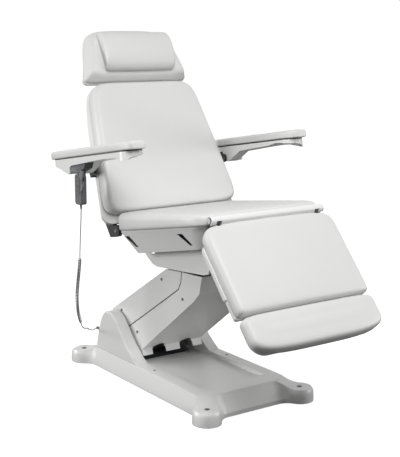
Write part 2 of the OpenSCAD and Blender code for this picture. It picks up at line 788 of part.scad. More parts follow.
tub_rim_shares = [[0.798, 0.510], [0.848, 0.358]];
tub_mouth_half_w = 168;
module lower_tub() {
    from = [arm_head[0] - tub_set_y, arm_head[1] + tub_set_z];
    line = spread(tub_low_shares, [tub_len, tub_deep], from);
    rim = spread(tub_rim_shares, [tub_len, tub_deep], from);
    mouth_front = from[0] + 0.24 * tub_len;
    color(white_abs) {
        both() across(tub_half_w - cover_wall, tub_half_w) polygon(concat(line, rim));
        difference() {
            across(-tub_half_w + cover_wall, tub_half_w - cover_wall) polygon(wall(line, -cover_wall));
            box(-tub_mouth_half_w, tub_mouth_half_w, mouth_front, from[0] + tub_len + over,
                from[1] - tub_deep, from[1] + tub_deep);
        }
    }
}

// Tilt actuator under the carriage deck, pushing on the seat frame
push_y = -385;
push_pad_r = 15;
push_pad_t = 6;
module tilt_actuator() {
    half_x = 70;
    half_y = 30;
    deck_low = arm_head[1] + deck_z;
    low = arm_head[1] + tub_set_z + 32;
    bore_end = low + 2 * cover_wall;
    color(dark_steel) difference() {
        box(-half_x, half_x, push_y - half_y / 2, push_y + half_y, low, deck_low);
        translate([0, push_y, bore_end]) cylinder(r = rod_r + fit, h = deck_low);
    }
}
module tilt_rod() {
    low = arm_head[1] + tub_set_z + 64;
    color(steel) {
        translate([0, push_y, low]) cylinder(r = rod_r, h = push_top - low);
        translate([0, push_y, push_top - push_pad_t]) cylinder(r = push_pad_r, h = push_pad_t);
    }
}

// Seat: a flat steel frame with lugs for its three hinges, in the seat's own frame
plate_low = -22;
plate_t = 6;
seat_board_t = 15.4;
seat_plate_half_w = 240;
lug_side_x = 226;
lug_side_t = 14;
lug_boss_r = 16;
leg_boss_r = 13;
back_pin_r = 8;
roller_r = 9;
seat_rear_f = 20;
tub_top_rear = 30;
tub_top_front = 600;
tub_low_rear = 96;
tub_low_front = 565;
tub_top_half = 285;
tub_low_half = 255;
plate_rear = 52;
plate_front = 585;
drive_n = -37.7;
drive_half_h = 15.4;
leg_drive_x = -60;
back_drive_x = 60;
push_rod_r = 7;
tilt_at = [back_behind_tilt, -back_above_tilt];
push_roller_w = 24;
push_roller_n = -38;
push_roller_y = 5;
// Length along the seat of a point that stands at world y
function seat_along(y, n) = (back_hinge[0] + n * sin(seat_tilt) - y) / cos(seat_tilt);
function seat_height(f, n) = back_hinge[1] + f * sin(seat_tilt) + n * cos(seat_tilt);
push_f = seat_along(push_y + push_roller_y, push_roller_n);
push_ease = 1;
push_top = seat_height(push_f, push_roller_n) - roller_r - push_ease;
// Outline points given as [forward, up] turned to the seat's own [y, z]
function ahead(p) = [for (q = p) [-q[0], q[1]]];
lug_bend = 34;
front_lug = [
    [plate_front - leg_boss_r, plate_low + plate_t], [plate_front + lug_bend, plate_low + plate_t],
    [leg_hinge_f - leg_boss_r + 2, leg_hinge_n - leg_boss_r + 2], [leg_hinge_f, leg_hinge_n],
    [leg_hinge_f + leg_boss_r - 2, leg_hinge_n - leg_boss_r / 2],
    [plate_front + 1.5 * lug_bend, -lug_bend], [plate_front - leg_boss_r, -lug_bend]
];
module seat_frame() {
    rear_lug = [
        [plate_rear + lug_boss_r, plate_low + plate_t], [tub_top_rear, plate_low + plate_t], [0, lug_boss_r],
        [-lug_boss_r, 0], [0, -lug_boss_r], [tub_top_rear, -lug_bend], [plate_rear + lug_boss_r, -lug_bend]
    ];
    color(dark_steel) in_seat() difference() {
        union() {
            box(-seat_plate_half_w, seat_plate_half_w, -plate_front, -plate_rear, plate_low, plate_low + plate_t);
            both() across(lug_side_x, lug_side_x + lug_side_t) {
                polygon(ahead(rear_lug));
                circle(lug_boss_r);
                polygon(ahead(front_lug));
                translate([-leg_hinge_f, leg_hinge_n]) circle(leg_boss_r);
            }
            both() across(lug_x, lug_x + lug_t) {
                translate([-tilt_at[0], tilt_at[1]]) circle(2 * shaft_r);
                translate([-tilt_at[0] - 2 * shaft_r, tilt_at[1]])
                    square([4 * shaft_r, plate_low - tilt_at[1]]);
            }
            across(-push_roller_w / 2, push_roller_w / 2) {
                translate([-push_f, push_roller_n]) circle(roller_r);
                translate([-push_f - roller_r, push_roller_n]) square([2 * roller_r, plate_low - push_roller_n]);
            }
        }
        rod_x([0, 0], back_pin_r + fit, -seat_plate_half_w - over, seat_plate_half_w + over);
        rod_x([-leg_hinge_f, leg_hinge_n], hinge_bar_r + fit, -seat_plate_half_w - over, seat_plate_half_w + over);
        rod_x([-tilt_at[0], tilt_at[1]], shaft_r + fit, -seat_plate_half_w, seat_plate_half_w);
    }
}
tub_corner_r = 55;
tub_rear_r = 22;
tub_low_lean = 5.5;
corner_steps = 4;
// A ring with round corners from f0 to f1 along the seat, at height n, lower by lean at its rear
function tub_ring(half, f0, f1, in, n, lean = 0) = [for (r = tub_rear_r - in, q = tub_corner_r - in, p = concat(
    arc([half - r, -f0 - r], r, 0, 90, corner_steps),
    arc([-half + r, -f0 - r], r, 90, 180, corner_steps),
    arc([-half + q, -f1 + q], q, 180, 270, corner_steps),
    arc([half - q, -f1 + q], q, 270, 360, corner_steps)))
    [p[0], p[1], n - lean * (2 * (p[1] + f1) / (f1 - f0) - 1)]];
module upper_tub() {
    slot_places_shares = [0.00, 0.823];
    slot_shares = [[-0.50, 0.48], [-0.02, 0.48], [0.50, -0.52], [0.24, -0.52]];
    slot_size = [74, 46];
    w = cover_wall;
    mouth_half_w = tub_half_w + 21;
    mouth_edge = 20;
    notch_gap = 2;
    color(white_abs) in_seat() difference() {
        skin([
            tub_ring(tub_low_half, tub_low_rear, tub_low_front, 0, -upper_tub_h, tub_low_lean),
            tub_ring(tub_top_half, tub_top_rear, tub_top_front, 0, -upper_tub_h / 12),
            tub_ring(tub_top_half, tub_top_rear, tub_top_front, 0, -seam)
        ]);
        skin([
            tub_ring(tub_low_half - w, tub_low_rear + w, tub_low_front - w, w, w - upper_tub_h, tub_low_lean),
            tub_ring(tub_top_half - w, tub_top_rear + w, tub_top_front - w, w, -upper_tub_h / 12),
            tub_ring(tub_top_half - w, tub_top_rear + w, tub_top_front - w, w, over)
        ]);
        box(-mouth_half_w, mouth_half_w, -tub_low_front + mouth_edge / 2, -tub_low_rear - mouth_edge,
            -upper_tub_h - tub_low_lean - over, -upper_tub_h + tub_low_lean + w + over);
        both() box(lug_side_x - notch_gap, lug_side_x + lug_side_t + notch_gap,
            -tub_top_front - over, -tub_low_front + 2 * w, -upper_tub_h / 2, over);
        both() box(lug_side_x - notch_gap, lug_side_x + lug_side_t + notch_gap,
            -tub_low_rear, -tub_top_rear + over, -upper_tub_h / 2, over);
        translate([leg_drive_x, 0, drive_n]) y_rod(push_rod_r + notch_gap, -tub_top_front, -tub_low_front + 2 * w);
        translate([back_drive_x, 0, drive_n]) y_rod(push_rod_r + notch_gap, -tub_low_rear, -tub_top_rear);
        for (s = slot_places_shares) {
            f = tub_low_rear + s * (tub_low_front - tub_low_rear);
            across(-tub_top_half - over, tub_top_half + over) translate([-f, -upper_tub_h / 2])
                polygon(ahead(spread(slot_shares, slot_size)));
        }
    }
}
board_low = plate_low + plate_t + seam;
board_share = -board_low / upper_tub_h;
module seat_board() {
    half = tub_top_half - cover_wall - seam - board_share * (tub_top_half - tub_low_half);
    rear = tub_top_rear + cover_wall + seam + board_share * (tub_low_rear - tub_top_rear);
    front = tub_top_front - cover_wall - seam - board_share * (tub_top_front - tub_low_front);
    color("burlywood") in_seat() translate([0, -(rear + front) / 2, board_low])
        linear_extrude(seat_board_t) round_rect(2 * half, front - rear, tub_corner_r);
}
seat_edge = 30;
module seat_pad() {
    color(white_hide) in_seat() translate([0, -seat_rear_f - seat_pad_len / 2, 0])
        cushion(seat_half_w, seat_pad_len / 2, 0, seat_pad_front_h, seat_pad_rear_h, seat_edge, 0, [9, 14]);
}
bar_half = 268;
pin_in = 205;
pin_out = 287;
module hinge_bar() {
    color(steel) in_seat() {
        rod_x([-leg_hinge_f, leg_hinge_n], hinge_bar_r, -bar_half, bar_half);
        rod_x([0, 0], back_pin_r, pin_in, pin_out);
        rod_x([0, 0], back_pin_r, -pin_out, -pin_in);
    }
}
// Push actuators under the seat plate: each has a rod whose end bears on a crank's roller
leg_crank = 56;
back_crank = 46;
leg_down = 15;
leg_up = leg_slope + seat_tilt;
leg_mid = (leg_up - leg_down) / 2;
back_travel = 73;
back_mid = back_travel / 2;
crank_web = 4;
leg_ratio = leg_crank * sin((leg_up + leg_down) / 2) / ((leg_up + leg_down) / 2);
leg_ease = 0.95;
leg_face = leg_hinge_f - leg_ratio * leg_mid - roller_r - seam - leg_ease;
back_ratio = back_crank * sin(back_mid) / back_mid;
back_ease = 0.75;
back_face = -back_ratio * back_mid + roller_r + seam + back_ease;
drive_half_w = 22;
drive_body_len = 120;
leg_drive_front = 480;
back_drive_rear = 150;
bore_depth = 90;
rod_inside = 70;
back_bore = 112;
back_rod_inside = 52;
module leg_actuator() {
    y0 = -leg_drive_front;
    color(dark_steel) in_seat() translate([leg_drive_x, 0, drive_n]) difference() {
        box(-drive_half_w, drive_half_w, y0, y0 + drive_body_len, -drive_half_h, drive_half_h);
        y_rod(push_rod_r + fit, y0 - over, y0 + bore_depth);
    }
}
module back_actuator() {
    y0 = -back_drive_rear;
    color(dark_steel) in_seat() translate([back_drive_x, 0, drive_n]) difference() {
        box(-drive_half_w, drive_half_w, y0 - drive_body_len, y0, -drive_half_h, drive_half_h);
        y_rod(push_rod_r + fit, y0 - back_bore, y0 + over);
    }
}
module leg_rod() {
    color(steel) in_seat() translate([leg_drive_x, 0, drive_n])
        y_rod(push_rod_r, -leg_face, -leg_drive_front + rod_inside);
}
module back_rod() {
    color(steel) in_seat() translate([back_drive_x, 0, drive_n])
        y_rod(push_rod_r, -back_drive_rear - back_rod_inside, -back_face);
}

// Backrest, in its own frame: z up the back, y to the rear
crank_t = 12;
back_tube_r = 14;
spine_half_w = 120;
spine_t = 6;
spine_top = 500;
shell_t = 16;
shell_low = 30;
shell_half_low = back_half_low - 2;
shell_half_high = back_half_high - 2;
pad_low = 62;
corner_low = 40;
corner_high = 60;
// Extrudes an outline drawn in [x, z] from y0 to y1
module upright(y0, y1) {
    translate([0, y1, 0]) rotate([90, 0, 0]) linear_extrude(y1 - y0) children();
}
function tapered(h0, h1, z0, z1, r0, r1) = concat(
    arc([h0 - r0, z0 + r0], r0, -90, 0, corner_steps * 2),
    arc([h1 - r1, z1 - r1], r1, 0, 90, corner_steps * 2),
    arc([-h1 + r1, z1 - r1], r1, 90, 180, corner_steps * 2),
    arc([-h0 + r0, z0 + r0], r0, 180, 270, corner_steps * 2));
module backrest_frame() {
    pin_bore = 26;
    tube_half = lug_side_x - 2;
    color(dark_steel) {
        in_back() difference() {
            union() {
                rod_x([0, 0], back_tube_r, -tube_half, tube_half);
                box(-spine_half_w, spine_half_w, -spine_t / 2, spine_t / 2, 0, spine_top);
            }
            rod_x([0, 0], back_pin_r + fit, tube_half - pin_bore, tube_half + over);
            rod_x([0, 0], back_pin_r + fit, -tube_half - over, -tube_half + pin_bore);
        }
        in_seat() translate([back_drive_x, 0, 0]) rotate([back_mid, 0, 0])
            across(-crank_t, crank_t) difference() {
                union() {
                    link_outline([0, 0], [0, -back_crank], crank_web);
                    translate([0, -back_crank]) circle(roller_r);
                }
                circle(back_tube_r - 1);
            }
    }
}
guide_x = 55;
guide_half_w = 15;
post_r = 7;
post_m = 18;
guide_low = 520;
guide_high = 625;
rim_t = 10;
rim_deep = 30;
rim_low = 110;
rim_shares = [
    [-0.30, 0.00], [0.00, 0.00], [0.14, 0.12], [0.46, 0.35], [0.95, 0.60], [1.00, 0.72], [0.80, 0.85], [0.30, 0.96],
    [0.00, 1.00], [-0.30, 1.00]
];
pivot_plate_in = 318;
pivot_half_h = 24;
pivot_strap = 48;
pivot_strap_t = 7.7;
module back_outline(in) {
    polygon(tapered(shell_half_low - in, shell_half_high - in, shell_low + in, back_len - in,
        corner_low - in, corner_high - in));
}
module backrest_shell() {
    color(white_abs) in_back() difference() {
        union() {
            upright(-shell_t / 2, shell_t / 2) back_outline(0);
            intersection() {
                upright(0, shell_t / 2 + rim_deep + over) difference() {
                    back_outline(0);
                    back_outline(rim_t);
                }
                across(-back_half_low, back_half_low)
                    polygon(spread(rim_shares, [rim_deep, guide_high - rim_low], [shell_t / 2, rim_low]));
            }
            both() box(guide_x - guide_half_w, guide_x + guide_half_w, 0, post_m + post_r + 2,
                guide_low, guide_high);
        }
        box(-spine_half_w - seam, spine_half_w + seam, -spine_t / 2 - seam, spine_t / 2 + seam,
            0, spine_top + seam);
        both() box(pivot_plate_in - pivot_strap - seam, pivot_plate_in, shell_t / 2,
            shell_t / 2 + pivot_strap_t + 2 * seam, arm_pivot_up - pivot_half_h - seam,
            arm_pivot_up + pivot_half_h + seam);
        both() translate([guide_x, post_m, guide_low - over])
            cylinder(r = post_r + fit, h = guide_high - guide_low + 2 * over);
    }
}
back_edge = 28;
back_bolster = 12;
module backrest_pad() {
    half_l = (back_len - pad_low) / 2;
    slope = (back_half_high - back_half_low) / (back_len - shell_low);
    mid = (pad_low + back_len) / 2;
    color(white_hide) in_back() translate([0, -shell_t / 2, mid]) rotate([90, 0, 0])
        cushion(back_half_low + slope * (mid - shell_low), half_l, slope, back_pad_h, back_pad_h, back_edge,
            back_bolster, [12, 9]);
}
bracket_x = 265;
bracket_t = 20;
bracket_len = 65;
bracket_shares = [
    [0.13, 0.40], [0.13, 1.20], [0.85, 1.20], [1.00, 0.82], [0.82, -0.15], [0.31, -0.31], [0.00, 0.00]
];
module hinge_brackets() {
    ring_r = 24;
    color(black_abs) in_back() both() across(bracket_x, bracket_x + bracket_t) difference() {
        union() {
            polygon(spread(bracket_shares, [bracket_len, bracket_len]));
            circle(ring_r);
        }
        circle(back_pin_r + fit);
    }
}
pivot_plate_w = 10;
pivot_hub_r = 18;
arm_pin_r = 8;
arm_gap = 2;
module armrest_pivots() {
    arm_in = arm_centre_x - arm_w / 2;
    pin_end = arm_centre_x;
    rear = shell_t / 2 + seam;
    color(black_abs) in_back() both() translate([0, 0, arm_pivot_up]) {
        box(pivot_plate_in - pivot_strap, pivot_plate_in + pivot_plate_w, rear, rear + pivot_strap_t,
            -pivot_half_h, pivot_half_h);
        box(pivot_plate_in, pivot_plate_in + pivot_plate_w, -arm_pivot_m - pivot_hub_r, rear + pivot_strap_t,
            -pivot_half_h, pivot_half_h);
        rod_x([-arm_pivot_m, 0], pivot_hub_r, pivot_plate_in, arm_in - arm_gap);
        rod_x([-arm_pivot_m, 0], arm_pin_r, pivot_plate_in, pin_end);
    }
}

// Headrest, in the backrest's frame
head_low = 655;
head_axis = 700;
head_axle_r = 8;
head_ear_x = 80;
head_ear_t = 12;
head_ear_r = 14;
head_board_t = 14;
head_board_front = -6;
head_board_inset = 5;
post_low = 480;
module headrest_posts() {
    axle_half = head_ear_x + head_ear_t + 3;
    color(steel) in_back() {
        both() translate([guide_x, post_m, post_low]) cylinder(r = post_r, h = head_axis - post_low);
        rod_x([post_m, head_axis], head_axle_r, -axle_half, axle_half);
    }
}
module headrest_board() {
    low = head_low - head_board_inset / 2;
    high = head_low + head_len - head_board_inset / 2;
    rear = head_board_front + head_board_t;
    color(white_abs) in_back() difference() {
        union() {
            upright(head_board_front, rear) polygon(tapered(head_half_low - head_board_inset,
                head_half_high - head_board_inset, low, high, corner_low / 2,
                corner_high * 1.25));
            both() across(head_ear_x, head_ear_x + head_ear_t) {
                translate([post_m, head_axis]) circle(head_ear_r);
                translate([rear - 1, head_axis - head_ear_r]) square([post_m - rear + 1, 2 * head_ear_r]);
            }
        }
        rod_x([post_m, head_axis], head_axle_r + fit, -head_half_low, head_half_low);
    }
}
head_edge = 30;
head_bolster = 22;
module headrest_pad() {
    half_l = head_len / 2;
    mid = head_low + half_l;
    half_w = (head_half_low + head_half_high) / 2;
    slope = (head_half_high - head_half_low) / head_len;
    color(white_hide) in_back() translate([0, head_board_front, mid]) rotate([90, 0, 0])
        cushion(half_w, half_l, slope, head_pad_h, head_pad_h, head_edge, head_bolster, [16, 4.5],
            wing_rings_shares);
}
pillow_low = 686;
module neck_pillow() {
    base_y = head_board_front - head_pad_h - seam * 2;
    steps = 24;
    flat_h = 6;
    outline = concat(
        [[base_y, pillow_low], [base_y - flat_h, pillow_low]],
        [for (i = [1:steps - 1]) let (a = 180 * i / steps)
            [base_y - flat_h - (pillow_h - flat_h) * sin(a), pillow_low + pillow_len * (1 - cos(a)) / 2]],
        [[base_y - flat_h, pillow_low + pillow_len], [base_y, pillow_low + pillow_len]]);
    color(white_hide) in_back() across(-pillow_w / 2, pillow_w / 2) polygon(outline);
}
lever_x = guide_x + guide_half_w + seam;
lever_at = [post_m, 600];
module headrest_lever() {
    hub_r = 9;
    hub_w = 16;
    grip_r = 6;
    grip_len = 62;
    color(black_abs) in_back() {
        rod_x(lever_at, hub_r, -lever_x - hub_w, -lever_x);
        across(-lever_x - hub_w, -lever_x - hub_w / 2) link_outline(lever_at, lever_at - [0, grip_len], grip_r);
    }
}

// Legrest, in its own frame: z up towards the hinge, y to the rear
leg_pad_from = 12;
leg_face_n = 5;
leg_back_y = leg_pad_h - leg_face_n;
leg_board_t = 17.4;
leg_board_from = 60;
leg_board_to = 376;
leg_plate_t = 10;
leg_plate_half = 258;
leg_lug_x = 246;
leg_lug_t = 12;
bar_lug_r = 9;
leg_edge = 24;
leg_bolster = 8;
leg_plate_y = leg_back_y + 2 * seam + leg_board_t;
leg_lug_end = [leg_plate_y + leg_plate_t / 2, -leg_board_from - bar_lug_r];
module legrest_pad() {
    half_l = leg_pad_len / 2;
    heel = 8;
    color(white_hide) in_leg() difference() {
        translate([0, leg_back_y, -leg_pad_from - half_l]) rotate([90, 0, 0])
            cushion(leg_half_w, half_l, 0, leg_pad_h, leg_pad_h, leg_edge, leg_bolster,
                [24, 9]);
        across(-leg_half_w - over, leg_half_w + over) polygon([
            [heel, over], [heel, -leg_pad_from + leg_edge / 8],
            [leg_back_y + over, -leg_board_from - over], [leg_back_y + over, over]
        ]);
        leg_lug_room();
        both() rod_x([0, 0], leg_boss_r + 1, lug_side_x - 1, lug_side_x + lug_side_t + 1);
        both() across(lug_side_x - 1, lug_side_x + lug_side_t + 1) for (a = [0:leg_down / 4:leg_down])
            rotate(90 - leg_slope - seat_tilt - a) offset(delta = 1)
                polygon([for (q = front_lug) [leg_hinge_f - q[0], q[1] - leg_hinge_n]]);
    }
}
// Room round the arms of the legrest frame that reach up to the hinge
module leg_lug_room() {
    both() across(leg_lug_x - seam, leg_lug_x + leg_lug_t + seam) link_outline([0, 0], leg_lug_end, bar_lug_r + seam);
    across(leg_drive_x - crank_t / 2 - seam, leg_drive_x + crank_t / 2 + seam)
        link_outline([0, 0], leg_lug_end, bar_lug_r + seam);
}
// Half round strip over the hinge, hung on the bar by two plates beside the lugs
cover_r = 17;
cover_t = 2.4;
cover_from = 78;
cover_to = 218;
cover_half = 267;
hanger_t = 4;
module hinge_strip() {
    sector = [for (a = [cover_from:(cover_to - cover_from) / 4:cover_to]) 2 * cover_r * [cos(a), sin(a)]];
    in_leg() difference() {
        union() {
            across(-cover_half, cover_half) intersection() {
                difference() {
                    circle(cover_r);
                    circle(cover_r - cover_t);
                }
                polygon(concat([[0, 0]], sector));
            }
            both() across(leg_lug_x - hanger_t - 1, leg_lug_x - 1) {
                circle(leg_boss_r - 1);
                intersection() {
                    circle(cover_r - cover_t / 2);
                    polygon(concat([[0, 0]], sector));
                }
            }
        }
        rod_x([0, 0], hinge_bar_r + fit, -leg_plate_half, leg_plate_half);
    }
}
leg_strip_to = 296;
leg_strip_step = 5;
module legrest_board() {
    half = leg_half_w + 3;
    color(white_abs) hinge_strip();
    color(white_abs) in_leg() difference() {
        upright(leg_back_y + seam, leg_back_y + seam + leg_board_t) {
            polygon(tapered(half - leg_strip_step, half - leg_strip_step, -leg_board_to, -leg_board_from,
                corner_low / 4, corner_low));
            polygon(tapered(half, half, -leg_strip_to, -leg_board_from, leg_strip_step, corner_low));
        }
        leg_lug_room();
    }
}
rail_half_w = 38;
rail_t = 11;
rail_from = 200;
guide_from = 215;
guide_to = 350;
guide_wall = 9;
module legrest_frame() {
    rail_y = leg_plate_y + leg_plate_t;
    depth = rail_t + 2 * seam + guide_wall;
    color(dark_steel) difference() {
        union() {
            in_leg() {
                box(-leg_plate_half, leg_plate_half, leg_plate_y, rail_y, -leg_board_to + 2, -leg_board_from);
                both() across(leg_lug_x, leg_lug_x + leg_lug_t) link_outline([0, 0], leg_lug_end, bar_lug_r);
                across(leg_drive_x - crank_t / 2, leg_drive_x + crank_t / 2) link_outline([0, 0], leg_lug_end, bar_lug_r);
                difference() {
                    box(-rail_half_w - seam - guide_wall, rail_half_w + seam + guide_wall, rail_y - 1, rail_y + depth,
                        -guide_to, -guide_from);
                    box(-rail_half_w - seam, rail_half_w + seam, rail_y, rail_y + rail_t + 2 * seam,
                        -guide_to - over, -guide_from + over);
                }
            }
            in_seat() translate([leg_drive_x, -leg_hinge_f, leg_hinge_n]) {
                rotate([leg_mid, 0, 0]) across(-crank_t, crank_t) {
                    link_outline([0, 0], [0, -leg_crank], crank_web);
                    translate([0, -leg_crank]) circle(roller_r);
                    circle(leg_boss_r);
                }
                for (sx = [-1, 1]) {
                    translate([sx * (leg_lug_x + leg_lug_t / 2) - leg_drive_x, 0, 0])
                        rod_x([0, 0], leg_boss_r, -leg_lug_t / 2, leg_lug_t / 2);
                }
            }
        }
        in_leg() rod_x([0, 0], hinge_bar_r + fit, -leg_plate_half - over, leg_plate_half + over);
    }
}
foot_from = 384;
foot_corner_r = 62;
module footrest_slide() {
    rail_y = leg_plate_y + leg_plate_t + seam;
    board_y = leg_back_y + seam;
    block_from = 392;
    block_to = 474;
    far = foot_from + foot_pad_len;
    color(white_abs) in_leg() {
        upright(board_y, board_y + leg_board_t) polygon(tapered(foot_pad_half_w + 1, foot_pad_half_w + 1,
            -far + 4, -foot_from - 2, foot_corner_r, corner_low / 4));
        box(-rail_half_w, rail_half_w, board_y + leg_board_t / 2, rail_y + rail_t, -block_to, -block_from);
        box(-rail_half_w, rail_half_w, rail_y, rail_y + rail_t, -block_to, -rail_from);
    }
}
module footrest_pad() {
    color(white_hide) in_leg() translate([0, leg_back_y, -foot_from - foot_pad_len / 2]) rotate([90, 0, 0])
        cushion(foot_pad_half_w, foot_pad_len / 2, 0, leg_pad_h, leg_pad_h, leg_edge, leg_bolster,
            [4.5, 12]);
}

// Armrests, in their own frame: y to the rear, z up
arm_low_shares = [
    [-0.306, 0.480], [-0.306, 0.889], [-0.288, 1.000], [0.935, 1.000], [0.950, 0.852], [0.948, 0.600],
    [0.944, 0.420], [0.930, 0.310], [0.905, 0.260], [0.878, 0.280], [0.850, 0.370], [0.822, 0.480],
    [0.780, 0.540], [0.625, 0.570], [0.433, 0.520], [0.240, 0.444], [0.042, 0.370], [0.0125, 0.222],
    [0.006, -0.185], [-0.010, -0.259], [-0.045, -0.190], [-0.105, 0.020], [-0.170, 0.230], [-0.237, 0.400]
];
arm_boss_shares = [
    [-0.104, 0.370], [-0.083, -0.130], [-0.0325, -0.300], [0.043, -0.300], [0.094, -0.148], [0.240, 0.444],
    [0.240, 0.600], [-0.104, 0.600]
];
arm_h = 54;
arm_back = 147;
arm_front = 456;
arm_boss_w = 54;
arm_corner_r = 44;
module armrest_shell() {
    mid = (arm_front - arm_back) / 2;
    arm_in = arm_centre_x - arm_w / 2;
    color(white_abs) in_arm() difference() {
        intersection() {
            union() {
                across(arm_in, arm_in + arm_w) polygon(ahead(spread(arm_low_shares, [arm_len, arm_h])));
                across(arm_in, arm_in + arm_boss_w) polygon(ahead(spread(arm_boss_shares, [arm_len, arm_h])));
            }
            translate([arm_centre_x, -mid, -arm_h]) linear_extrude(3 * arm_h)
                round_rect(arm_w, arm_front + arm_back, arm_corner_r);
        }
        rod_x([0, 0], arm_pin_r + fit, arm_in - over, arm_centre_x + over);
    }
}
arm_pad_h = 33;
arm_edge = 12;
arm_pad_back = 181;
module armrest_pad() {
    half_l = (arm_len + arm_pad_back) / 2;
    color(white_hide) in_arm() translate([arm_centre_x, -(arm_len - arm_pad_back) / 2, arm_h + seam])
        cushion(arm_w / 2 - 1, half_l, 0, arm_pad_h, arm_pad_h, arm_edge, 0, [6, 6]);
}
module left_armrest_shell() {
    armrest_shell();
}
module right_armrest_shell() {
    mirror([1, 0, 0]) armrest_shell();
}
module left_armrest_pad() {
    armrest_pad();
}
module right_armrest_pad() {
    mirror([1, 0, 0]) armrest_pad();
}

// Hand control hung under the right armrest, facing out
handset_x = -420;
handset_y = 132;
handset_top = 905;
key_h = 14;
key_w = 30;
key_t = 6;
key_pitch = 19;
key_pin_r = 1.2;
key_gap = 0.8;
key_proud = 1.6;
handset_face = handset_x - handset_t / 2;
key_axis_x = handset_face + 2;
key_first = 17;
function arm_point(a, c) = arm_pivot + a * [-cos(arm_slope), sin(arm_slope)] + c * [sin(arm_slope), cos(arm_slope)];
module handset_body() {
    corner = 12;
    color(grey_abs) difference() {
        translate([handset_x - handset_t / 2, handset_y, handset_top - handset_len / 2]) rotate([90, 0, 90])
            linear_extrude(handset_t) round_rect(handset_w, handset_len, corner);
        for (k = [0:3]) {
            translate([0, handset_y, handset_top - key_first - k * key_pitch]) {
                box(handset_face - over, handset_face - key_proud + key_t + key_gap,
                    -key_w / 2 - key_gap, key_w / 2 + key_gap, -key_h / 2 - key_gap, key_h / 2 + key_gap);
                translate([key_axis_x, -key_w / 2 - 3, 0]) y_rod(key_pin_r + fit, 0, key_w + 6);
            }
        }
    }
}
module key(k) {
    color(white_abs) translate([0, handset_y, handset_top - key_first - k * key_pitch]) {
        box(handset_face - key_proud, handset_face - key_proud + key_t,
            -key_w / 2, key_w / 2, -key_h / 2, key_h / 2);
        translate([key_axis_x, 0, 0]) y_rod(key_pin_r, -key_w / 2 - 2, key_w / 2 + 2);
    }
}
module height_key() {
    key(0);
}
module tilt_key() {
    key(1);
}
module back_key() {
    key(2);
}
module leg_key() {
    key(3);
}
// Bar along the underside of the armrest, with a tongue behind the hand control and a clip before it
holder_shares = [
    [0.07, 0.98], [0.02, 0.20], [0.10, 0.00], [0.50, 0.00], [0.88, 0.45], [1.00, 1.335], [0.63, 1.21], [0.09, 1.06]
];
clip_shares = [
    [0.10, 1.00], [0.00, 0.72], [0.28, 0.50], [0.18, 0.24], [0.40, 0.02], [0.72, 0.00], [0.95, 0.26], [0.80, 0.52],
    [1.00, 0.76], [0.90, 1.00]
];
module handset_holder() {
    bar_size = [138, 27];
    bar_low = -9;
    bar_in = 38;
    clip_size = [30, 84];
    clip_low = 842;
    tongue_t = 4;
    tongue_len = 48;
    half = handset_t / 2;
    side = arm_centre_x + arm_w / 2 - 1;
    inner = handset_x + half + seam;
    color(grey_abs) {
        in_arm() across(-side, -side + bar_in) difference() {
            polygon(ahead(spread(holder_shares, bar_size, [4, bar_low])));
            polygon(ahead(spread(arm_low_shares, [arm_len, arm_h])));
        }
        box(inner, inner + tongue_t, handset_y - half, handset_y + half, handset_top - tongue_len, handset_top + half);
        across(-side, -side + 2 * tongue_t)
            polygon(spread(clip_shares, clip_size, [handset_y - handset_w / 2 - seam - clip_size[0],
                clip_low]));
    }
}
relief_len = 20;
relief_top_r = 5;
handset_low = handset_top - handset_len;
module cord_strain_relief() {
    color(grey_abs) translate([handset_x, handset_y, handset_low - relief_len])
        cylinder(r1 = cord_d / 2 + 1, r2 = relief_top_r, h = relief_len);
}
// Control cord: straight lead, curly part, and a lead that goes in behind the right cheek
upper_route = [[-420, 132, 763], [-420, 133, 745], [-420, 138, 695], [-420, 145, 635], [-420, 150, 580], [-420, 151, 560]];
coil_route = [
    [-420, 151, 560], [-420, 162, 502], [-420, 175, 445], [-420, 184, 387], [-420, 178, 329], [-420, 152, 277]
];
turn_route = [
    [-420, 149, 272], [-418, 146, 266], [-413, 143, 261], [-406, 141, 259], [-400, 141, 259]
];
lower_route = [
    [-399.4, 141, 259], [-392, 143, 256], [-375, 173, 243], [-345, 217, 226], [-305, 273, 204], [-265, 331, 184],
    [-230, 384, 167], [-210, 414, 161], [-199, 420, 160]
];
curl_steps = 8;
coil_wire_d = 4.4;
module cord_upper_lead() {
    color(grey_abs) tube(smooth_line(upper_route, 4), cord_d / 2, 8, [1, 0, 0]);
}
module cord_lower_lead() {
    color(grey_abs) tube(smooth_line(lower_route, 4), cord_d / 2, 8, [0, 0, 1]);
}
coil_line = smooth_line(coil_route, 40);
coil_last = len(coil_line) - 1;
function on_coil(u) = let (k = min(floor(u * coil_last), coil_last - 1), t = u * coil_last - k)
    coil_line[k] * (1 - t) + coil_line[k + 1] * t;
coil_r = (coil_d - coil_wire_d) / 2;
lead_share = 0.012;
function curl_point(i) = let (
    u = lead_share + (1 - 2 * lead_share) * i / (curls * curl_steps),
    t = unit(on_coil(min(u + lead_share / 2, 1)) - on_coil(max(u - lead_share / 2, 0))),
    side = cross(t, [1, 0, 0]),
    swell = min(min(i, curls * curl_steps - i) / curl_steps, 1),
    a = 360 * i / curl_steps
) on_coil(u) + coil_r * swell * (cos(a) * [1, 0, 0] + sin(a) * side);
curl_points = [for (i = [0:curls * curl_steps]) curl_point(i)];
coil_points = concat([coil_line[0]], curl_points, [coil_line[coil_last]], turn_route);
coil_self_gap = min([for (i = [0:len(curl_points) - 1 - curl_steps])
    for (j = [i + curl_steps - 2:min(i + curl_steps + 2, len(curl_points) - 1)])
        norm(curl_points[i] - curl_points[j])]) - coil_wire_d;
echo(coil_self_gap = coil_self_gap);
module cord_coil() {
    color(grey_abs) tube(coil_points, coil_wire_d / 2, 6, [1, 0, 0]);
}

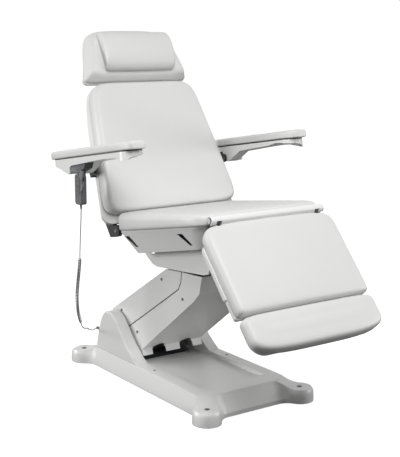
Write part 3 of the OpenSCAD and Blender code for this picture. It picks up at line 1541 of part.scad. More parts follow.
base_frame();
base_cover();
right_cheek();
left_cheek();
rear_panel();
levelling_feet();
foot_caps();
lift_shafts();
control_box();
mains_inlet();
cord_gland();
cord_lower_lead();
lift_arm();
arm_cover_upper();
arm_cover_lower();
arm_cover_screws();
lift_link();
lift_actuator();
lift_rod();
carriage_frame();
lower_tub();
tilt_actuator();
tilt_rod();
seat_frame();
upper_tub();
seat_board();
seat_pad();
hinge_bar();
back_actuator();
leg_actuator();
back_rod();
leg_rod();
backrest_frame();
backrest_shell();
backrest_pad();
hinge_brackets();
armrest_pivots();
headrest_posts();
headrest_board();
headrest_pad();
neck_pillow();
headrest_lever();
legrest_frame();
legrest_board();
legrest_pad();
footrest_slide();
footrest_pad();
right_armrest_shell();
left_armrest_shell();
right_armrest_pad();
left_armrest_pad();
handset_holder();
handset_body();
height_key();
tilt_key();
back_key();
leg_key();
cord_strain_relief();
cord_upper_lead();
cord_coil();
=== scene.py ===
import json
import math

import bmesh
import bpy
from mathutils import Matrix, Vector


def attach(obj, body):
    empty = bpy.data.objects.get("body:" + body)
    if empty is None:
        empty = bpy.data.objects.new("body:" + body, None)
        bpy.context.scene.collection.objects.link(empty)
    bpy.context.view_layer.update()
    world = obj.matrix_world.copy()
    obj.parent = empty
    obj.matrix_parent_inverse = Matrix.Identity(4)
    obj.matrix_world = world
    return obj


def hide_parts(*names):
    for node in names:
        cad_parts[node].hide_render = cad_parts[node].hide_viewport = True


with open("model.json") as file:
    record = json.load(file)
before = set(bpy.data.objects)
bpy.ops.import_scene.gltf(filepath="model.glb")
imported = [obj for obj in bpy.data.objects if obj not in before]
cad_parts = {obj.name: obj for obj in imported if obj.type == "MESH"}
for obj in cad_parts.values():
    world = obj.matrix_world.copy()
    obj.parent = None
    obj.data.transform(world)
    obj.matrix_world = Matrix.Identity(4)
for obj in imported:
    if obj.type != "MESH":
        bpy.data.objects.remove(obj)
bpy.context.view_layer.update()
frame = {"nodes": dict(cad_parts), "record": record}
nodes = frame["nodes"]
bodyOf = {node: body for body, held in frame["record"]["behaviour"]["bodies"].items() for node in held}
slotOf = {part["node"]: part["material_slot"] for part in frame["record"]["subparts"]}
print("frame loaded:", len(nodes), "nodes")


def addObject(name, data):
    item = bpy.data.objects.new(name, data)
    bpy.context.scene.collection.objects.link(item)
    return item


# Where the photograph was taken from, in metres and degrees
cameraSetup = {"place": (-2.412, -3.546, 1.462), "pitch": 10.61, "yaw": 35.05,
               "lens": 81.93, "sensor": 36.0}


def makeCamera(setup):
    lens = bpy.data.cameras.new("photoCamera")
    lens.lens = setup["lens"]
    lens.sensor_width = setup["sensor"]
    camera = addObject("photoCamera", lens)
    camera.location = setup["place"]
    camera.rotation_euler = (math.radians(90 - setup["pitch"]), 0, math.radians(-setup["yaw"]))
    bpy.context.scene.camera = camera


makeCamera(cameraSetup)


# Colours are written as sRGB hex and turned to linear here
def hexColour(text):
    value = [int(text[i:i + 2], 16) / 255 for i in (1, 3, 5)]
    linear = [c / 12.92 if c <= 0.04045 else ((c + 0.055) / 1.055) ** 2.4 for c in value]
    return (*linear, 1.0)


def addNode(tree, kind, settings=None, links=None):
    node = tree.nodes.new(kind)
    for name, value in (settings or {}).items():
        if name in node.inputs:
            node.inputs[name].default_value = value
        else:
            setattr(node, name, value)
    for name, source in (links or {}).items():
        tree.links.new(source, node.inputs[name])
    return node


# A surface with two close shades in soft patches, a fine relief and a slightly uneven gloss
def makeSurface(name, finish):
    material = bpy.data.materials.new(name)
    material.use_nodes = True
    tree = material.node_tree
    tree.nodes.clear()
    place = addNode(tree, "ShaderNodeTexCoord").outputs["Object"]
    patches = addNode(tree, "ShaderNodeTexNoise", {"Scale": 1 / finish["patch"], "Detail": 2.0},
                      {"Vector": place})
    colour = addNode(tree, "ShaderNodeMix", {"data_type": "RGBA"}, {"Factor": patches.outputs["Fac"]})
    colour.inputs[6].default_value = hexColour(finish["shades"][0])
    colour.inputs[7].default_value = hexColour(finish["shades"][1])
    gloss = addNode(tree, "ShaderNodeMapRange",
                    {"To Min": finish["roughness"][0], "To Max": finish["roughness"][1]},
                    {"Value": patches.outputs["Fac"]})
    if finish["relief"] == "grain":
        cells = addNode(tree, "ShaderNodeTexVoronoi",
                        {"feature": "DISTANCE_TO_EDGE", "Scale": 1 / finish["grain"]}, {"Vector": place})
        height = addNode(tree, "ShaderNodeMapRange", {"From Max": 0.25},
                         {"Value": cells.outputs["Distance"]}).outputs["Result"]
    elif finish["relief"] == "brushed":
        stretch = addNode(tree, "ShaderNodeMapping", {"Scale": (0.05, 1.0, 1.0)}, {"Vector": place})
        lines = addNode(tree, "ShaderNodeTexNoise", {"Scale": 1 / finish["grain"], "Detail": 3.0},
                        {"Vector": stretch.outputs["Vector"]})
        height = lines.outputs["Fac"]
    elif finish["relief"] == "rings":
        rings = addNode(tree, "ShaderNodeTexWave", {"Scale": 1 / finish["grain"], "Distortion": 4.0},
                        {"Vector": place})
        height = rings.outputs["Fac"]
    else:
        pits = addNode(tree, "ShaderNodeTexNoise", {"Scale": 1 / finish["grain"], "Detail": 4.0},
                       {"Vector": place})
        height = pits.outputs["Fac"]
    bump = addNode(tree, "ShaderNodeBump", {"Strength": finish["strength"], "Distance": finish["depth"]},
                   {"Height": height})
    body = addNode(tree, "ShaderNodeBsdfPrincipled",
                   {"Metallic": finish["metallic"], "IOR": finish["ior"]},
                   {"Base Color": colour.outputs[2], "Roughness": gloss.outputs["Result"],
                    "Normal": bump.outputs["Normal"]})
    for socket, value in finish.get("extra", {}).items():
        body.inputs[socket].default_value = value
    addNode(tree, "ShaderNodeOutputMaterial", links={"Surface": body.outputs[0]})
    return material


# Sizes are in metres: patch is the spread of a soft shade, grain one cell or pit, depth its relief
finishes = {
    # PVC-coated upholstery cloth, embossed and calendered: soft satin glow, fine leather-like cells
    "leatherette": {"shades": ("#E0E0DF", "#D9D9D8"), "patch": 0.30, "roughness": (0.40, 0.50),
                    "relief": "grain", "grain": 0.0035, "strength": 0.10, "depth": 0.0002,
                    "metallic": 0.0, "ior": 1.53,
                    "extra": {"Sheen Weight": 0.05, "Sheen Roughness": 0.4}},
    # ABS sheet, thermoformed: even white with a soft shine, its texture drawn coarser than real
    "white_shell": {"shades": ("#F0F0EF", "#EAEAE9"), "patch": 0.45, "roughness": (0.30, 0.38),
                    "relief": "pits", "grain": 0.0025, "strength": 0.06, "depth": 0.0001,
                    "metallic": 0.0, "ior": 1.52},
    # ABS, injection moulded: mid grey with a matt mould texture
    "grey_plastic": {"shades": ("#5E6062", "#55575A"), "patch": 0.05, "roughness": (0.45, 0.55),
                     "relief": "pits", "grain": 0.0012, "strength": 0.15, "depth": 0.0001,
                     "metallic": 0.0, "ior": 1.52},
    # Silicone rubber keys, moulded: a little paler than their case, soft and dull
    "key_plastic": {"shades": ("#66686B", "#5E6063"), "patch": 0.02, "roughness": (0.55, 0.65),
                    "relief": "pits", "grain": 0.0010, "strength": 0.10, "depth": 0.0001,
                    "metallic": 0.0, "ior": 1.43},
    # Glass-filled nylon, moulded: near black with a dull sparkle
    "black_plastic": {"shades": ("#141416", "#1C1C1F"), "patch": 0.03, "roughness": (0.42, 0.52),
                      "relief": "pits", "grain": 0.0012, "strength": 0.20, "depth": 0.0001,
                      "metallic": 0.0, "ior": 1.53},
    # PVC cable sheath, extruded: mid grey satin
    "cord_sheath": {"shades": ("#6C6E71", "#626467"), "patch": 0.02, "roughness": (0.38, 0.46),
                    "relief": "pits", "grain": 0.0015, "strength": 0.08, "depth": 0.0001,
                    "metallic": 0.0, "ior": 1.53},
    # Steel bar, ground and bright: fine lines along the bar
    "bright_steel": {"shades": ("#C9CBCD", "#BEC0C3"), "patch": 0.08, "roughness": (0.22, 0.32),
                     "relief": "brushed", "grain": 0.0006, "strength": 0.05, "depth": 0.0001,
                     "metallic": 1.0, "ior": 1.5},
    # Steel plate, powder coated: dark grey with orange peel
    "painted_steel": {"shades": ("#606366", "#585B5E"), "patch": 0.10, "roughness": (0.42, 0.52),
                      "relief": "pits", "grain": 0.0022, "strength": 0.18, "depth": 0.0001,
                      "metallic": 0.0, "ior": 1.5},
    # Birch plywood, sawn: warm with soft rings
    "plywood": {"shades": ("#CDB48A", "#BFA478"), "patch": 0.06, "roughness": (0.60, 0.72),
                "relief": "rings", "grain": 0.02, "strength": 0.10, "depth": 0.0002,
                "metallic": 0.0, "ior": 1.5}}
materials = {slot: makeSurface(name, finishes[slot]) for slot, name in (
    ("leatherette", "pvcUpholstery"), ("white_shell", "whiteAbs"), ("grey_plastic", "greyAbs"),
    ("key_plastic", "siliconeRubber"), ("black_plastic", "blackNylon"), ("cord_sheath", "pvcSheath"),
    ("bright_steel", "groundSteel"), ("painted_steel", "powderCoatedSteel"), ("plywood", "birchPlywood"))}
for name, item in nodes.items():
    item.data.materials.clear()
    item.data.materials.append(materials[slotOf[name]])
print("materials made")


# The chair's own frames, as the solids have them: slopes in degrees, hinges as (y, z)
angles = {"seatTilt": 10.3, "backLean": 27.0, "legSlope": 49.0, "armSlope": 9.0}
hinges = {"back": (0.0897089, 0.6650100), "leg": (-0.545972, 0.796795), "arm": (0.189994, 0.914696)}


def turned(place, degrees):
    return Matrix.Translation((0, place[0], place[1])) @ Matrix.Rotation(math.radians(degrees), 4, "X")


inSeat = turned(hinges["back"], -angles["seatTilt"])
inBack = turned(hinges["back"], -angles["backLean"])
inLeg = turned(hinges["leg"], angles["legSlope"] - 90)
inArm = turned(hinges["arm"], -angles["armSlope"])


# Closed skin through rings of equal count
def skinFaces(rings):
    count = len(rings[0])
    faces = []
    for k in range(len(rings) - 1):
        for i in range(count):
            j = (i + 1) % count
            faces.append((k * count + i, k * count + j, (k + 1) * count + j, (k + 1) * count + i))
    faces.append(tuple(range(count))[::-1])
    faces.append(tuple(range((len(rings) - 1) * count, len(rings) * count)))
    return faces


# Points and faces of one or more closed skins
def joinSkins(*skins):
    points, faces = [], []
    for rings in skins:
        start = len(points)
        points += [p for ring in rings for p in ring]
        faces += [tuple(start + i for i in face) for face in skinFaces(rings)]
    return points, faces


def makeMesh(name, points, faces):
    mesh = bpy.data.meshes.new(name)
    mesh.from_pydata([tuple(p) for p in points], [], faces)
    mesh.validate()
    work = bmesh.new()
    work.from_mesh(mesh)
    bmesh.ops.recalc_face_normals(work, faces=work.faces)
    work.to_mesh(mesh)
    work.free()
    return mesh


def makePiece(name, points, faces, slot, body, replaced=(), smooth=True):
    piece = addObject(name, makeMesh(name, points, faces))
    if smooth:
        piece.data.polygons.foreach_set("use_smooth", [True] * len(piece.data.polygons))
    piece.data.materials.append(materials[slot])
    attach(piece, body)
    if replaced:
        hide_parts(*replaced)
    return piece


# The hand control's cord: the same routes as the solids, in metres
cordSetup = {"thickness": 0.004, "wire": 0.0044, "coilWidth": 0.015, "curls": 44,
             "turnSteps": 24, "leadShare": 0.012, "coilSteps": 40, "leadSteps": 6, "facets": 2}
upperRoute = [(-0.420, 0.132, 0.763), (-0.420, 0.133, 0.745), (-0.420, 0.138, 0.695),
              (-0.420, 0.145, 0.635), (-0.420, 0.150, 0.580), (-0.420, 0.151, 0.560)]
coilRoute = [(-0.420, 0.151, 0.560), (-0.420, 0.162, 0.502), (-0.420, 0.175, 0.445),
             (-0.420, 0.184, 0.387), (-0.420, 0.178, 0.329), (-0.420, 0.152, 0.277)]
turnRoute = [(-0.420, 0.149, 0.272), (-0.418, 0.146, 0.266), (-0.413, 0.143, 0.261),
             (-0.406, 0.141, 0.259), (-0.400, 0.141, 0.259)]
lowerRoute = [(-0.3994, 0.141, 0.259), (-0.392, 0.143, 0.256), (-0.375, 0.173, 0.243),
              (-0.345, 0.217, 0.226), (-0.305, 0.273, 0.204), (-0.265, 0.331, 0.184),
              (-0.230, 0.384, 0.167), (-0.210, 0.414, 0.161), (-0.199, 0.420, 0.160)]


# A smooth line that passes through every point of the route
def smoothLine(route, steps):
    points = [Vector(p) for p in route]
    line = []
    for i in range(len(points) - 1):
        b, c = points[i], points[i + 1]
        a = points[i - 1] if i else 2 * b - c
        d = points[i + 2] if i < len(points) - 2 else 2 * c - b
        for k in range(steps):
            t = k / steps
            line.append(0.5 * (2 * b + t * (c - a) + t * t * (2 * a - 5 * b + 4 * c - d)
                               + t ** 3 * (3 * b - a - 3 * c + d)))
    return line + [points[-1]]


def curlyLine(setup):
    line = smoothLine(coilRoute, setup["coilSteps"])
    last = len(line) - 1

    def onLine(u):
        k = min(int(u * last), last - 1)
        return line[k].lerp(line[k + 1], u * last - k)

    points = [line[0]]
    total = setup["curls"] * setup["turnSteps"]
    radius = (setup["coilWidth"] - setup["wire"]) / 2
    share = setup["leadShare"]
    for i in range(total + 1):
        u = share + (1 - 2 * share) * i / total
        along = (onLine(min(u + share / 2, 1)) - onLine(max(u - share / 2, 0))).normalized()
        side = along.cross(Vector((1, 0, 0)))
        swell = min(min(i, total - i) / setup["turnSteps"], 1)
        turn = 2 * math.pi * i / setup["turnSteps"]
        reach = math.cos(turn) * Vector((1, 0, 0)) + math.sin(turn) * side
        points.append(onLine(u) + radius * swell * reach)
    return points + [line[-1]] + [Vector(p) for p in turnRoute]


def makeCord(name, points, thickness, body, replaced, length, exitPoint, **facts):
    curve = bpy.data.curves.new(name, "CURVE")
    curve.dimensions = "3D"
    spline = curve.splines.new("POLY")
    spline.points.add(len(points) - 1)
    for point, place in zip(spline.points, points):
        point.co = (*place, 1)
    curve.bevel_depth = thickness / 2
    curve.bevel_resolution = cordSetup["facets"]
    curve.use_fill_caps = True
    piece = addObject(name, curve)
    curve.materials.append(materials["cord_sheath"])
    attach(piece, body)
    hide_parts(replaced)


def lineLength(points):
    return sum((b - a).length for a, b in zip(points, points[1:]))


curlyPoints = curlyLine(cordSetup)
upperPoints = smoothLine(upperRoute, cordSetup["leadSteps"])
lowerPoints = smoothLine(lowerRoute, cordSetup["leadSteps"])
print("cord lengths:", [round(lineLength(p), 4) for p in (upperPoints, curlyPoints, lowerPoints)])
makeCord("cordUpper", upperPoints, cordSetup["thickness"], "right_armrest", "cord_upper_lead", 0.204,
         upperRoute[0], far_end="object", stiffness="limp", lay="hanging",
         with_pieces=["cord_strain_relief"])
makeCord("cordCurls", curlyPoints, cordSetup["wire"], "right_armrest", "cord_coil", 1.501,
         coilRoute[0], far_end="object", stiffness="limp", lay="hanging")
makeCord("cordLower", lowerPoints, cordSetup["thickness"], "base", "cord_lower_lead", 0.363,
         lowerRoute[-1], far_end="object", stiffness="limp", lay="hanging", with_pieces=["cord_gland"])


# Shells: the solids' own shapes with rounded edges. Angles are in degrees
edgeSetup = {"merge": 1e-5, "flat": 0.6, "sharp": 28, "segments": 3}


def softened(name, node, radius, setup):
    piece = addObject(name, bpy.data.meshes.new(name))
    work = bmesh.new()
    work.from_mesh(nodes[node].data)
    bmesh.ops.remove_doubles(work, verts=work.verts, dist=setup["merge"])
    bmesh.ops.dissolve_limit(work, angle_limit=math.radians(setup["flat"]), verts=work.verts,
                             edges=work.edges)
    work.to_mesh(piece.data)
    work.free()
    piece.data.polygons.foreach_set("use_smooth", [True] * len(piece.data.polygons))
    rounding = piece.modifiers.new("rounding", "BEVEL")
    rounding.width = radius
    rounding.segments = setup["segments"]
    rounding.limit_method = "ANGLE"
    rounding.angle_limit = math.radians(setup["sharp"])
    rounding.miter_outer = "MITER_ARC"
    piece.modifiers.new("evenNormals", "WEIGHTED_NORMAL").keep_sharp = True
    slot = slotOf[node]
    piece.data.materials.clear()
    piece.data.materials.append(materials[slot])
    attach(piece, bodyOf[node])
    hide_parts(node)
    return piece


# Each shell with its solid and the radius of its edges in metres
shells = {"baseCover": ("base_cover", 0.005), "rightCheek": ("right_cheek", 0.004),
          "leftCheek": ("left_cheek", 0.004), "rearPanel": ("rear_panel", 0.001),
          "armCoverUpper": ("arm_cover_upper", 0.0012),
          "armCoverLower": ("arm_cover_lower", 0.0012), "lowerTub": ("lower_tub", 0.0012),
          "upperTub": ("upper_tub", 0.0012), "backShell": ("backrest_shell", 0.004),
          "headBoard": ("headrest_board", 0.003), "legBoard": ("legrest_board", 0.004),
          "footBoard": ("footrest_slide", 0.003), "rightArmShell": ("right_armrest_shell", 0.003),
          "leftArmShell": ("left_armrest_shell", 0.003), "handsetCase": ("handset_body", 0.003),
          "handsetHook": ("handset_holder", 0.0015)}
shellPieces = {name: softened(name, node, radius, edgeSetup) for name, (node, radius) in shells.items()}


# The foot pad's cushion hides its board, so the board's plate draws in under it
footTuck = {"railHalf": 0.048, "middle": -0.4565, "across": 0.955, "along": 0.93}
for vertex in shellPieces["footBoard"].data.vertices:
    p = inLeg.inverted() @ vertex.co
    if abs(p.x) > footTuck["railHalf"]:
        p.x *= footTuck["across"]
        p.z = footTuck["middle"] + (p.z - footTuck["middle"]) * footTuck["along"]
    vertex.co = inLeg @ p

# The armrest's grip tapers up towards the sitter's side
gripTaper = {"from": -0.36, "top": 0.046, "outer": 0.438, "inner": 0.345, "squeeze": 0.65}
for name in ("rightArmShell", "leftArmShell"):
    for vertex in shellPieces[name].data.vertices:
        p = inArm.inverted() @ vertex.co
        if p.y < gripTaper["from"] and p.z < gripTaper["top"]:
            share = (gripTaper["outer"] - abs(p.x)) / (gripTaper["outer"] - gripTaper["inner"])
            kept = 1 - gripTaper["squeeze"] * min(max(share, 0), 1)
            p.z = gripTaper["top"] - (gripTaper["top"] - p.z) * kept
        vertex.co = inArm @ p

# Painted shade: a thin black strip between each armrest's pad and shell, standing in for the shadow in the
# gap under the overhanging pad
armShadowStrip = {"centre": 0.3925, "halfWide": 0.0480, "rear": 0.1476, "front": -0.4566,
           "corner": 0.0445, "low": 0.0498, "high": 0.0541, "steps": 8}


def makeArmShadowStrip(name, sign, setup, body):
    r, steps = setup["corner"], setup["steps"]
    outline = []
    for cx, cy, start in ((1, 1, 0), (-1, 1, 90), (-1, -1, 180), (1, -1, 270)):
        x = sign * setup["centre"] + cx * (setup["halfWide"] - r)
        y = setup["rear"] - r if cy > 0 else setup["front"] + r
        for i in range(steps + 1):
            a = math.radians(start + 90 * i / steps)
            outline.append((x + r * math.cos(a), y + r * math.sin(a)))
    rings = [[inArm @ Vector((x, y, z)) for x, y in outline] for z in (setup["low"], setup["high"])]
    # The black of this strip is painted shadow for the gap under the pad
    makePiece(name, *joinSkins(rings), "black_plastic", body, smooth=False)


makeArmShadowStrip("rightArmShadowStrip", -1, armShadowStrip, "right_armrest")
makeArmShadowStrip("leftArmShadowStrip", 1, armShadowStrip, "left_armrest")


# Rubber seal in the parting line of the lift arm's casing: a thin dark line down both sides
seal = {"line": [(0.2231, 0.2030), (-0.0728, 0.3879), (-0.1749, 0.4529), (-0.1920, 0.4849),
                 (-0.1982, 0.5289)],
        "inner": 0.1518, "outer": 0.1533, "halfWide": 0.0022}


def makeSeal(setup):
    line, inner, outer = setup["line"], setup["inner"], setup["outer"]
    skins = []
    for sign in (-1, 1):
        rings = []
        for i, place in enumerate(line):
            a, b = line[max(i - 1, 0)], line[min(i + 1, len(line) - 1)]
            side = Vector((a[1] - b[1], b[0] - a[0])).normalized() * setup["halfWide"]
            rings.append([Vector((sign * x, place[0] + k * side.x, place[1] + k * side.y))
                          for x, k in ((inner, -1), (inner, 1), (outer, 1), (outer, -1))])
        skins.append(rings)
    makePiece("casingSeal", *joinSkins(*skins), "black_plastic", bodyOf["arm_cover_upper"], smooth=False)


makeSeal(seal)
print("shells made")


# Cushions: crowned closed forms, written in the frame they lie in.
# A profile runs from the under side up: inset in edge widths, share of the depth
padProfile = [(0.30, 0.00), (0.15, 0.02), (0.05, 0.06), (0.00, 0.14), (0.00, 0.32), (0.00, 0.48),
              (0.015, 0.60), (0.06, 0.71), (0.15, 0.81), (0.30, 0.89), (0.52, 0.94), (0.90, 0.972),
              (1.40, 0.985), (2.2, 0.996)]
wingProfile = [(0.30, 0.00), (0.12, 0.01), (0.02, 0.04), (0.00, 0.09), (0.01, 0.17), (0.05, 0.28),
               (0.14, 0.39), (0.30, 0.52), (0.50, 0.67), (0.72, 0.80), (1.05, 0.895), (1.50, 0.95),
               (2.2, 0.98), (3.0, 0.996)]
# Rings on the under side and on the top shrink towards the middle by these shares
padRings = {"around": 128, "under": (0.5, 0.9), "top": (0.9, 0.75, 0.58, 0.4, 0.22, 0.08)}


def makePad(name, node, place, pad):
    count = padRings["around"]
    halfWide, halfLong, edge = pad["halfWide"], pad["halfLong"], pad["edge"]
    profile = pad.get("profile", padProfile)

    def spot(i, inset, share, shrink):
        c, s = math.cos(2 * math.pi * i / count), math.sin(2 * math.pi * i / count)
        power = pad["corners"][0 if s < 0 else 1]
        ux = math.copysign(abs(c) ** (2 / power), c)
        uy = math.copysign(abs(s) ** (2 / power), s)
        y = uy * (halfLong - inset * edge) * shrink
        x = ux * (halfWide + pad.get("taper", 0) * y - inset * edge) * shrink
        deep = pad["front"] + (pad["rear"] - pad["front"]) * (y + halfLong) / (2 * halfLong)
        across = min(abs(x) / halfWide, 1)
        rise = pad.get("bolster", 0) * across ** 4 + pad.get("crown", 0) * (1 - across ** 2)
        return place @ Vector((x, y, share * deep + rise * max(2 * share - 1, 0)))

    steps = [(profile[0][0], 0, shrink) for shrink in padRings["under"]]
    steps += [(inset, share, 1) for inset, share in profile]
    steps += [(profile[-1][0], 1, shrink) for shrink in padRings["top"]]
    rings = [[spot(i, *step) for i in range(count)] for step in steps]
    return makePiece(name, *joinSkins(rings), "leatherette", bodyOf[node], (node,))


lying = Matrix.Rotation(math.radians(90), 4, "X")
armPad = {"halfWide": 0.0465, "halfLong": 0.3305, "front": 0.033, "rear": 0.033, "edge": 0.012,
          "corners": (6, 6)}
pads = {
    "seatCushion": ("seat_pad", inSeat @ Matrix.Translation((0, -0.3255, 0)),
                    {"halfWide": 0.300, "halfLong": 0.3055, "front": 0.046, "rear": 0.077, "edge": 0.030,
                     "corners": (9, 14)}),
    "backCushion": ("backrest_pad", inBack @ Matrix.Translation((0, -0.008, 0.351)) @ lying,
                    {"halfWide": 0.2919, "halfLong": 0.289, "taper": -0.13115, "front": 0.058,
                     "rear": 0.058, "edge": 0.028, "bolster": 0.012, "corners": (12, 9)}),
    "headCushion": ("headrest_pad", inBack @ Matrix.Translation((0, -0.006, 0.7765)) @ lying,
                    {"halfWide": 0.2335, "halfLong": 0.1215, "taper": -0.2346, "front": 0.052,
                     "rear": 0.052, "edge": 0.030, "bolster": 0.022, "corners": (16, 4.5),
                     "profile": wingProfile}),
    "legCushion": ("legrest_pad", inLeg @ Matrix.Translation((0, 0.045, -0.195)) @ lying,
                   {"halfWide": 0.305, "halfLong": 0.183, "front": 0.050, "rear": 0.050, "edge": 0.024,
                    "crown": 0.010, "corners": (24, 9)}),
    "footCushion": ("footrest_pad", inLeg @ Matrix.Translation((0, 0.045, -0.4580)) @ lying,
                    {"halfWide": 0.3055, "halfLong": 0.0755, "front": 0.050, "rear": 0.050, "edge": 0.030,
                     "crown": 0.008, "corners": (3.6, 10)}),
    "leftArmCushion": ("left_armrest_pad", inArm @ Matrix.Translation((0.3925, -0.1495, 0.0543)),
                       armPad),
    "rightArmCushion": ("right_armrest_pad", inArm @ Matrix.Translation((-0.3925, -0.1495, 0.0543)),
                        armPad)}
cushions = {}
for name, (node, place, pad) in pads.items():
    cushions[name] = makePad(name, node, place, pad)

# The legrest cushion's rear is cut back where the hinge folds, with notches for the seat's lugs.
# Outlines as (y, z) in the legrest's frame
legCut = {"rear": [(0.008, 0.010), (0.008, -0.015), (0.0455, -0.061), (0.060, -0.061), (0.060, 0.010)],
          "notch": [(-0.012, 0), (-0.012, -0.0114), (0.0104, -0.0502), (0.066, -0.0355), (0.066, 0)],
          "halfWide": 0.320, "notchFrom": 0.2240, "notchTo": 0.2420, "crisp": 40}


def cutRoom(piece, outline, start, end):
    rings = [[inLeg @ Vector((x, y, z)) for y, z in outline] for x in (start, end)]
    cutter = addObject("room", makeMesh("room", *joinSkins(rings)))
    cut = piece.modifiers.new("room", "BOOLEAN")
    cut.operation = "DIFFERENCE"
    cut.solver = "EXACT"
    cut.object = cutter
    shaped = bpy.data.meshes.new_from_object(piece.evaluated_get(bpy.context.evaluated_depsgraph_get()))
    piece.modifiers.clear()
    piece.data = shaped
    bpy.data.objects.remove(cutter)


cutRoom(cushions["legCushion"], legCut["rear"], -legCut["halfWide"], legCut["halfWide"])
for side in (-1, 1):
    cutRoom(cushions["legCushion"], legCut["notch"], side * legCut["notchFrom"], side * legCut["notchTo"])
cushions["legCushion"].data.set_sharp_from_angle(angle=math.radians(legCut["crisp"]))

# Upholstered flap from the hinge strip down to the legrest cushion, open where the seat's lugs stand
hingeFlap = {"inner": 0.0125, "outer": 0.0169, "from": 214, "to": 277, "steps": 8,
             "spans": ((-0.267, -0.244), (-0.222, 0.222), (0.244, 0.267))}


def makeFlap(setup):
    steps, inner, outer = setup["steps"], setup["inner"], setup["outer"]
    turns = [math.radians(setup["from"] + (setup["to"] - setup["from"]) * i / steps)
             for i in range(steps + 1)]
    outline = [(outer * math.cos(a), outer * math.sin(a)) for a in turns]
    outline += [(inner * math.cos(a), inner * math.sin(a)) for a in reversed(turns)]
    skins = [[[inLeg @ Vector((x, y, z)) for y, z in outline] for x in span] for span in setup["spans"]]
    makePiece("hingeFlap", *joinSkins(*skins), "leatherette", bodyOf["legrest_board"], smooth=False)


makeFlap(hingeFlap)


# Neck pillow: a D-shaped roll whose ends draw in
pillow = {"halfWide": 0.170, "rear": -0.0586, "flat": 0.006, "high": 0.058, "low": 0.686,
          "long": 0.178, "endRound": 0.012, "endShort": 0.7, "endThin": 0.6, "roundness": 0.9,
          "stations": 26, "around": 40}


def makePillow(setup):
    flat, halfWide, endRound = setup["flat"], setup["halfWide"], setup["endRound"]
    rings = []
    for k in range(setup["stations"] + 1):
        t = -1 + 2 * k / setup["stations"]
        t = math.sin(t * math.pi / 2)
        x = t * halfWide
        into = max(abs(x) - (halfWide - endRound), 0) / endRound
        drawn = endRound * (1 - math.sqrt(max(1 - into ** 2, 0)))
        ring = []
        for i in range(setup["around"]):
            a = 2 * math.pi * i / setup["around"]
            c, s = math.cos(a), math.sin(a)
            halfLong = setup["long"] / 2 - drawn * setup["endShort"]
            z = math.copysign(abs(c) ** setup["roundness"], c) * halfLong
            if s > 0:
                y = -flat - s ** setup["roundness"] * (setup["high"] - drawn * setup["endThin"] - flat)
            else:
                y = -flat * (1 + s)
            ring.append(inBack @ Vector((x, setup["rear"] + y, setup["low"] + setup["long"] / 2 + z)))
        rings.append(ring)
    return makePiece("neckPillow", *joinSkins(rings), "leatherette", bodyOf["neck_pillow"],
                     ("neck_pillow",))


makePillow(pillow)
print("cushions made")


# White paper sweep: bright to the camera, dim to the light that it throws back on the chair
studio = {"skyLight": 0.28, "skySeen": 1.0, "skyColour": "#FFFFFF", "paper": "#F0F0F0",
          "paperBounce": "#606060", "paperGlow": 0.80, "paperReach": 30,
          "lamps": {
              "topBox": {"place": (-1.0, -2.2, 3.2), "aim": (0, -0.3, 0.3), "size": 1.6, "power": 80},
              "leftBox": {"place": (-3.6, 2.2, 1.1), "aim": (0, 0, 0.5), "size": 1.6, "power": 88},
              "rightBox": {"place": (3.0, -2.2, 0.9), "aim": (0, -0.6, 0.4), "size": 1.2, "power": 34}}}


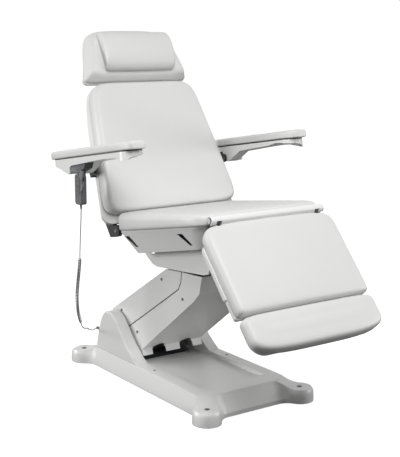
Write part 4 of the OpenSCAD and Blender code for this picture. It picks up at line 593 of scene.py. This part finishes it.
def makeStudio(setup):
    world = bpy.data.worlds.new("studio")
    bpy.context.scene.world = world
    world.use_nodes = True
    tree = world.node_tree
    tree.nodes.clear()
    ray = addNode(tree, "ShaderNodeLightPath")
    mirrored = addNode(tree, "ShaderNodeMath", {"operation": "MAXIMUM"})
    tree.links.new(ray.outputs["Is Glossy Ray"], mirrored.inputs[0])
    tree.links.new(ray.outputs["Is Transmission Ray"], mirrored.inputs[1])
    seen = addNode(tree, "ShaderNodeMath", {"operation": "MAXIMUM"})
    tree.links.new(ray.outputs["Is Camera Ray"], seen.inputs[0])
    tree.links.new(mirrored.outputs[0], seen.inputs[1])
    strength = addNode(tree, "ShaderNodeMapRange",
                       {"To Min": setup["skyLight"], "To Max": setup["skySeen"]},
                       {"Value": seen.outputs[0]})
    sky = addNode(tree, "ShaderNodeBackground", {"Color": hexColour(setup["skyColour"])},
                  {"Strength": strength.outputs["Result"]})
    addNode(tree, "ShaderNodeOutputWorld", links={"Surface": sky.outputs[0]})

    paper = bpy.data.materials.new("studioPaper")
    paper.use_nodes = True
    tree = paper.node_tree
    tree.nodes.clear()
    ray = addNode(tree, "ShaderNodeLightPath")
    shade = addNode(tree, "ShaderNodeMix", {"data_type": "RGBA"}, {"Factor": ray.outputs["Is Camera Ray"]})
    shade.inputs[6].default_value = hexColour(setup["paperBounce"])
    shade.inputs[7].default_value = hexColour(setup["paper"])
    matt = addNode(tree, "ShaderNodeBsdfDiffuse", links={"Color": shade.outputs[2]})
    lift = addNode(tree, "ShaderNodeMath", {"operation": "MULTIPLY"})
    tree.links.new(ray.outputs["Is Camera Ray"], lift.inputs[0])
    lift.inputs[1].default_value = setup["paperGlow"]
    glow = addNode(tree, "ShaderNodeEmission", {"Color": hexColour(setup["skyColour"])},
                   {"Strength": lift.outputs[0]})
    both = addNode(tree, "ShaderNodeAddShader")
    tree.links.new(matt.outputs[0], both.inputs[0])
    tree.links.new(glow.outputs[0], both.inputs[1])
    addNode(tree, "ShaderNodeOutputMaterial", links={"Surface": both.outputs[0]})
    mesh = bpy.data.meshes.new("studioFloor")
    far = setup["paperReach"]
    mesh.from_pydata([(-far, -far, 0), (far, -far, 0), (far, far, 0), (-far, far, 0)], [], [(0, 1, 2, 3)])
    mesh.materials.append(paper)
    floor = addObject("studioFloor", mesh)

    for name, box in setup["lamps"].items():
        lamp = bpy.data.lights.new(name, "AREA")
        lamp.shape = "SQUARE"
        lamp.size = box["size"]
        lamp.energy = box["power"]
        item = addObject(name, lamp)
        item.location = box["place"]
        view = Vector(box["aim"]) - Vector(box["place"])
        item.rotation_euler = view.to_track_quat("-Z", "Y").to_euler()
    bpy.context.scene.view_settings.view_transform = "Standard"


makeStudio(studio)
print("studio made")
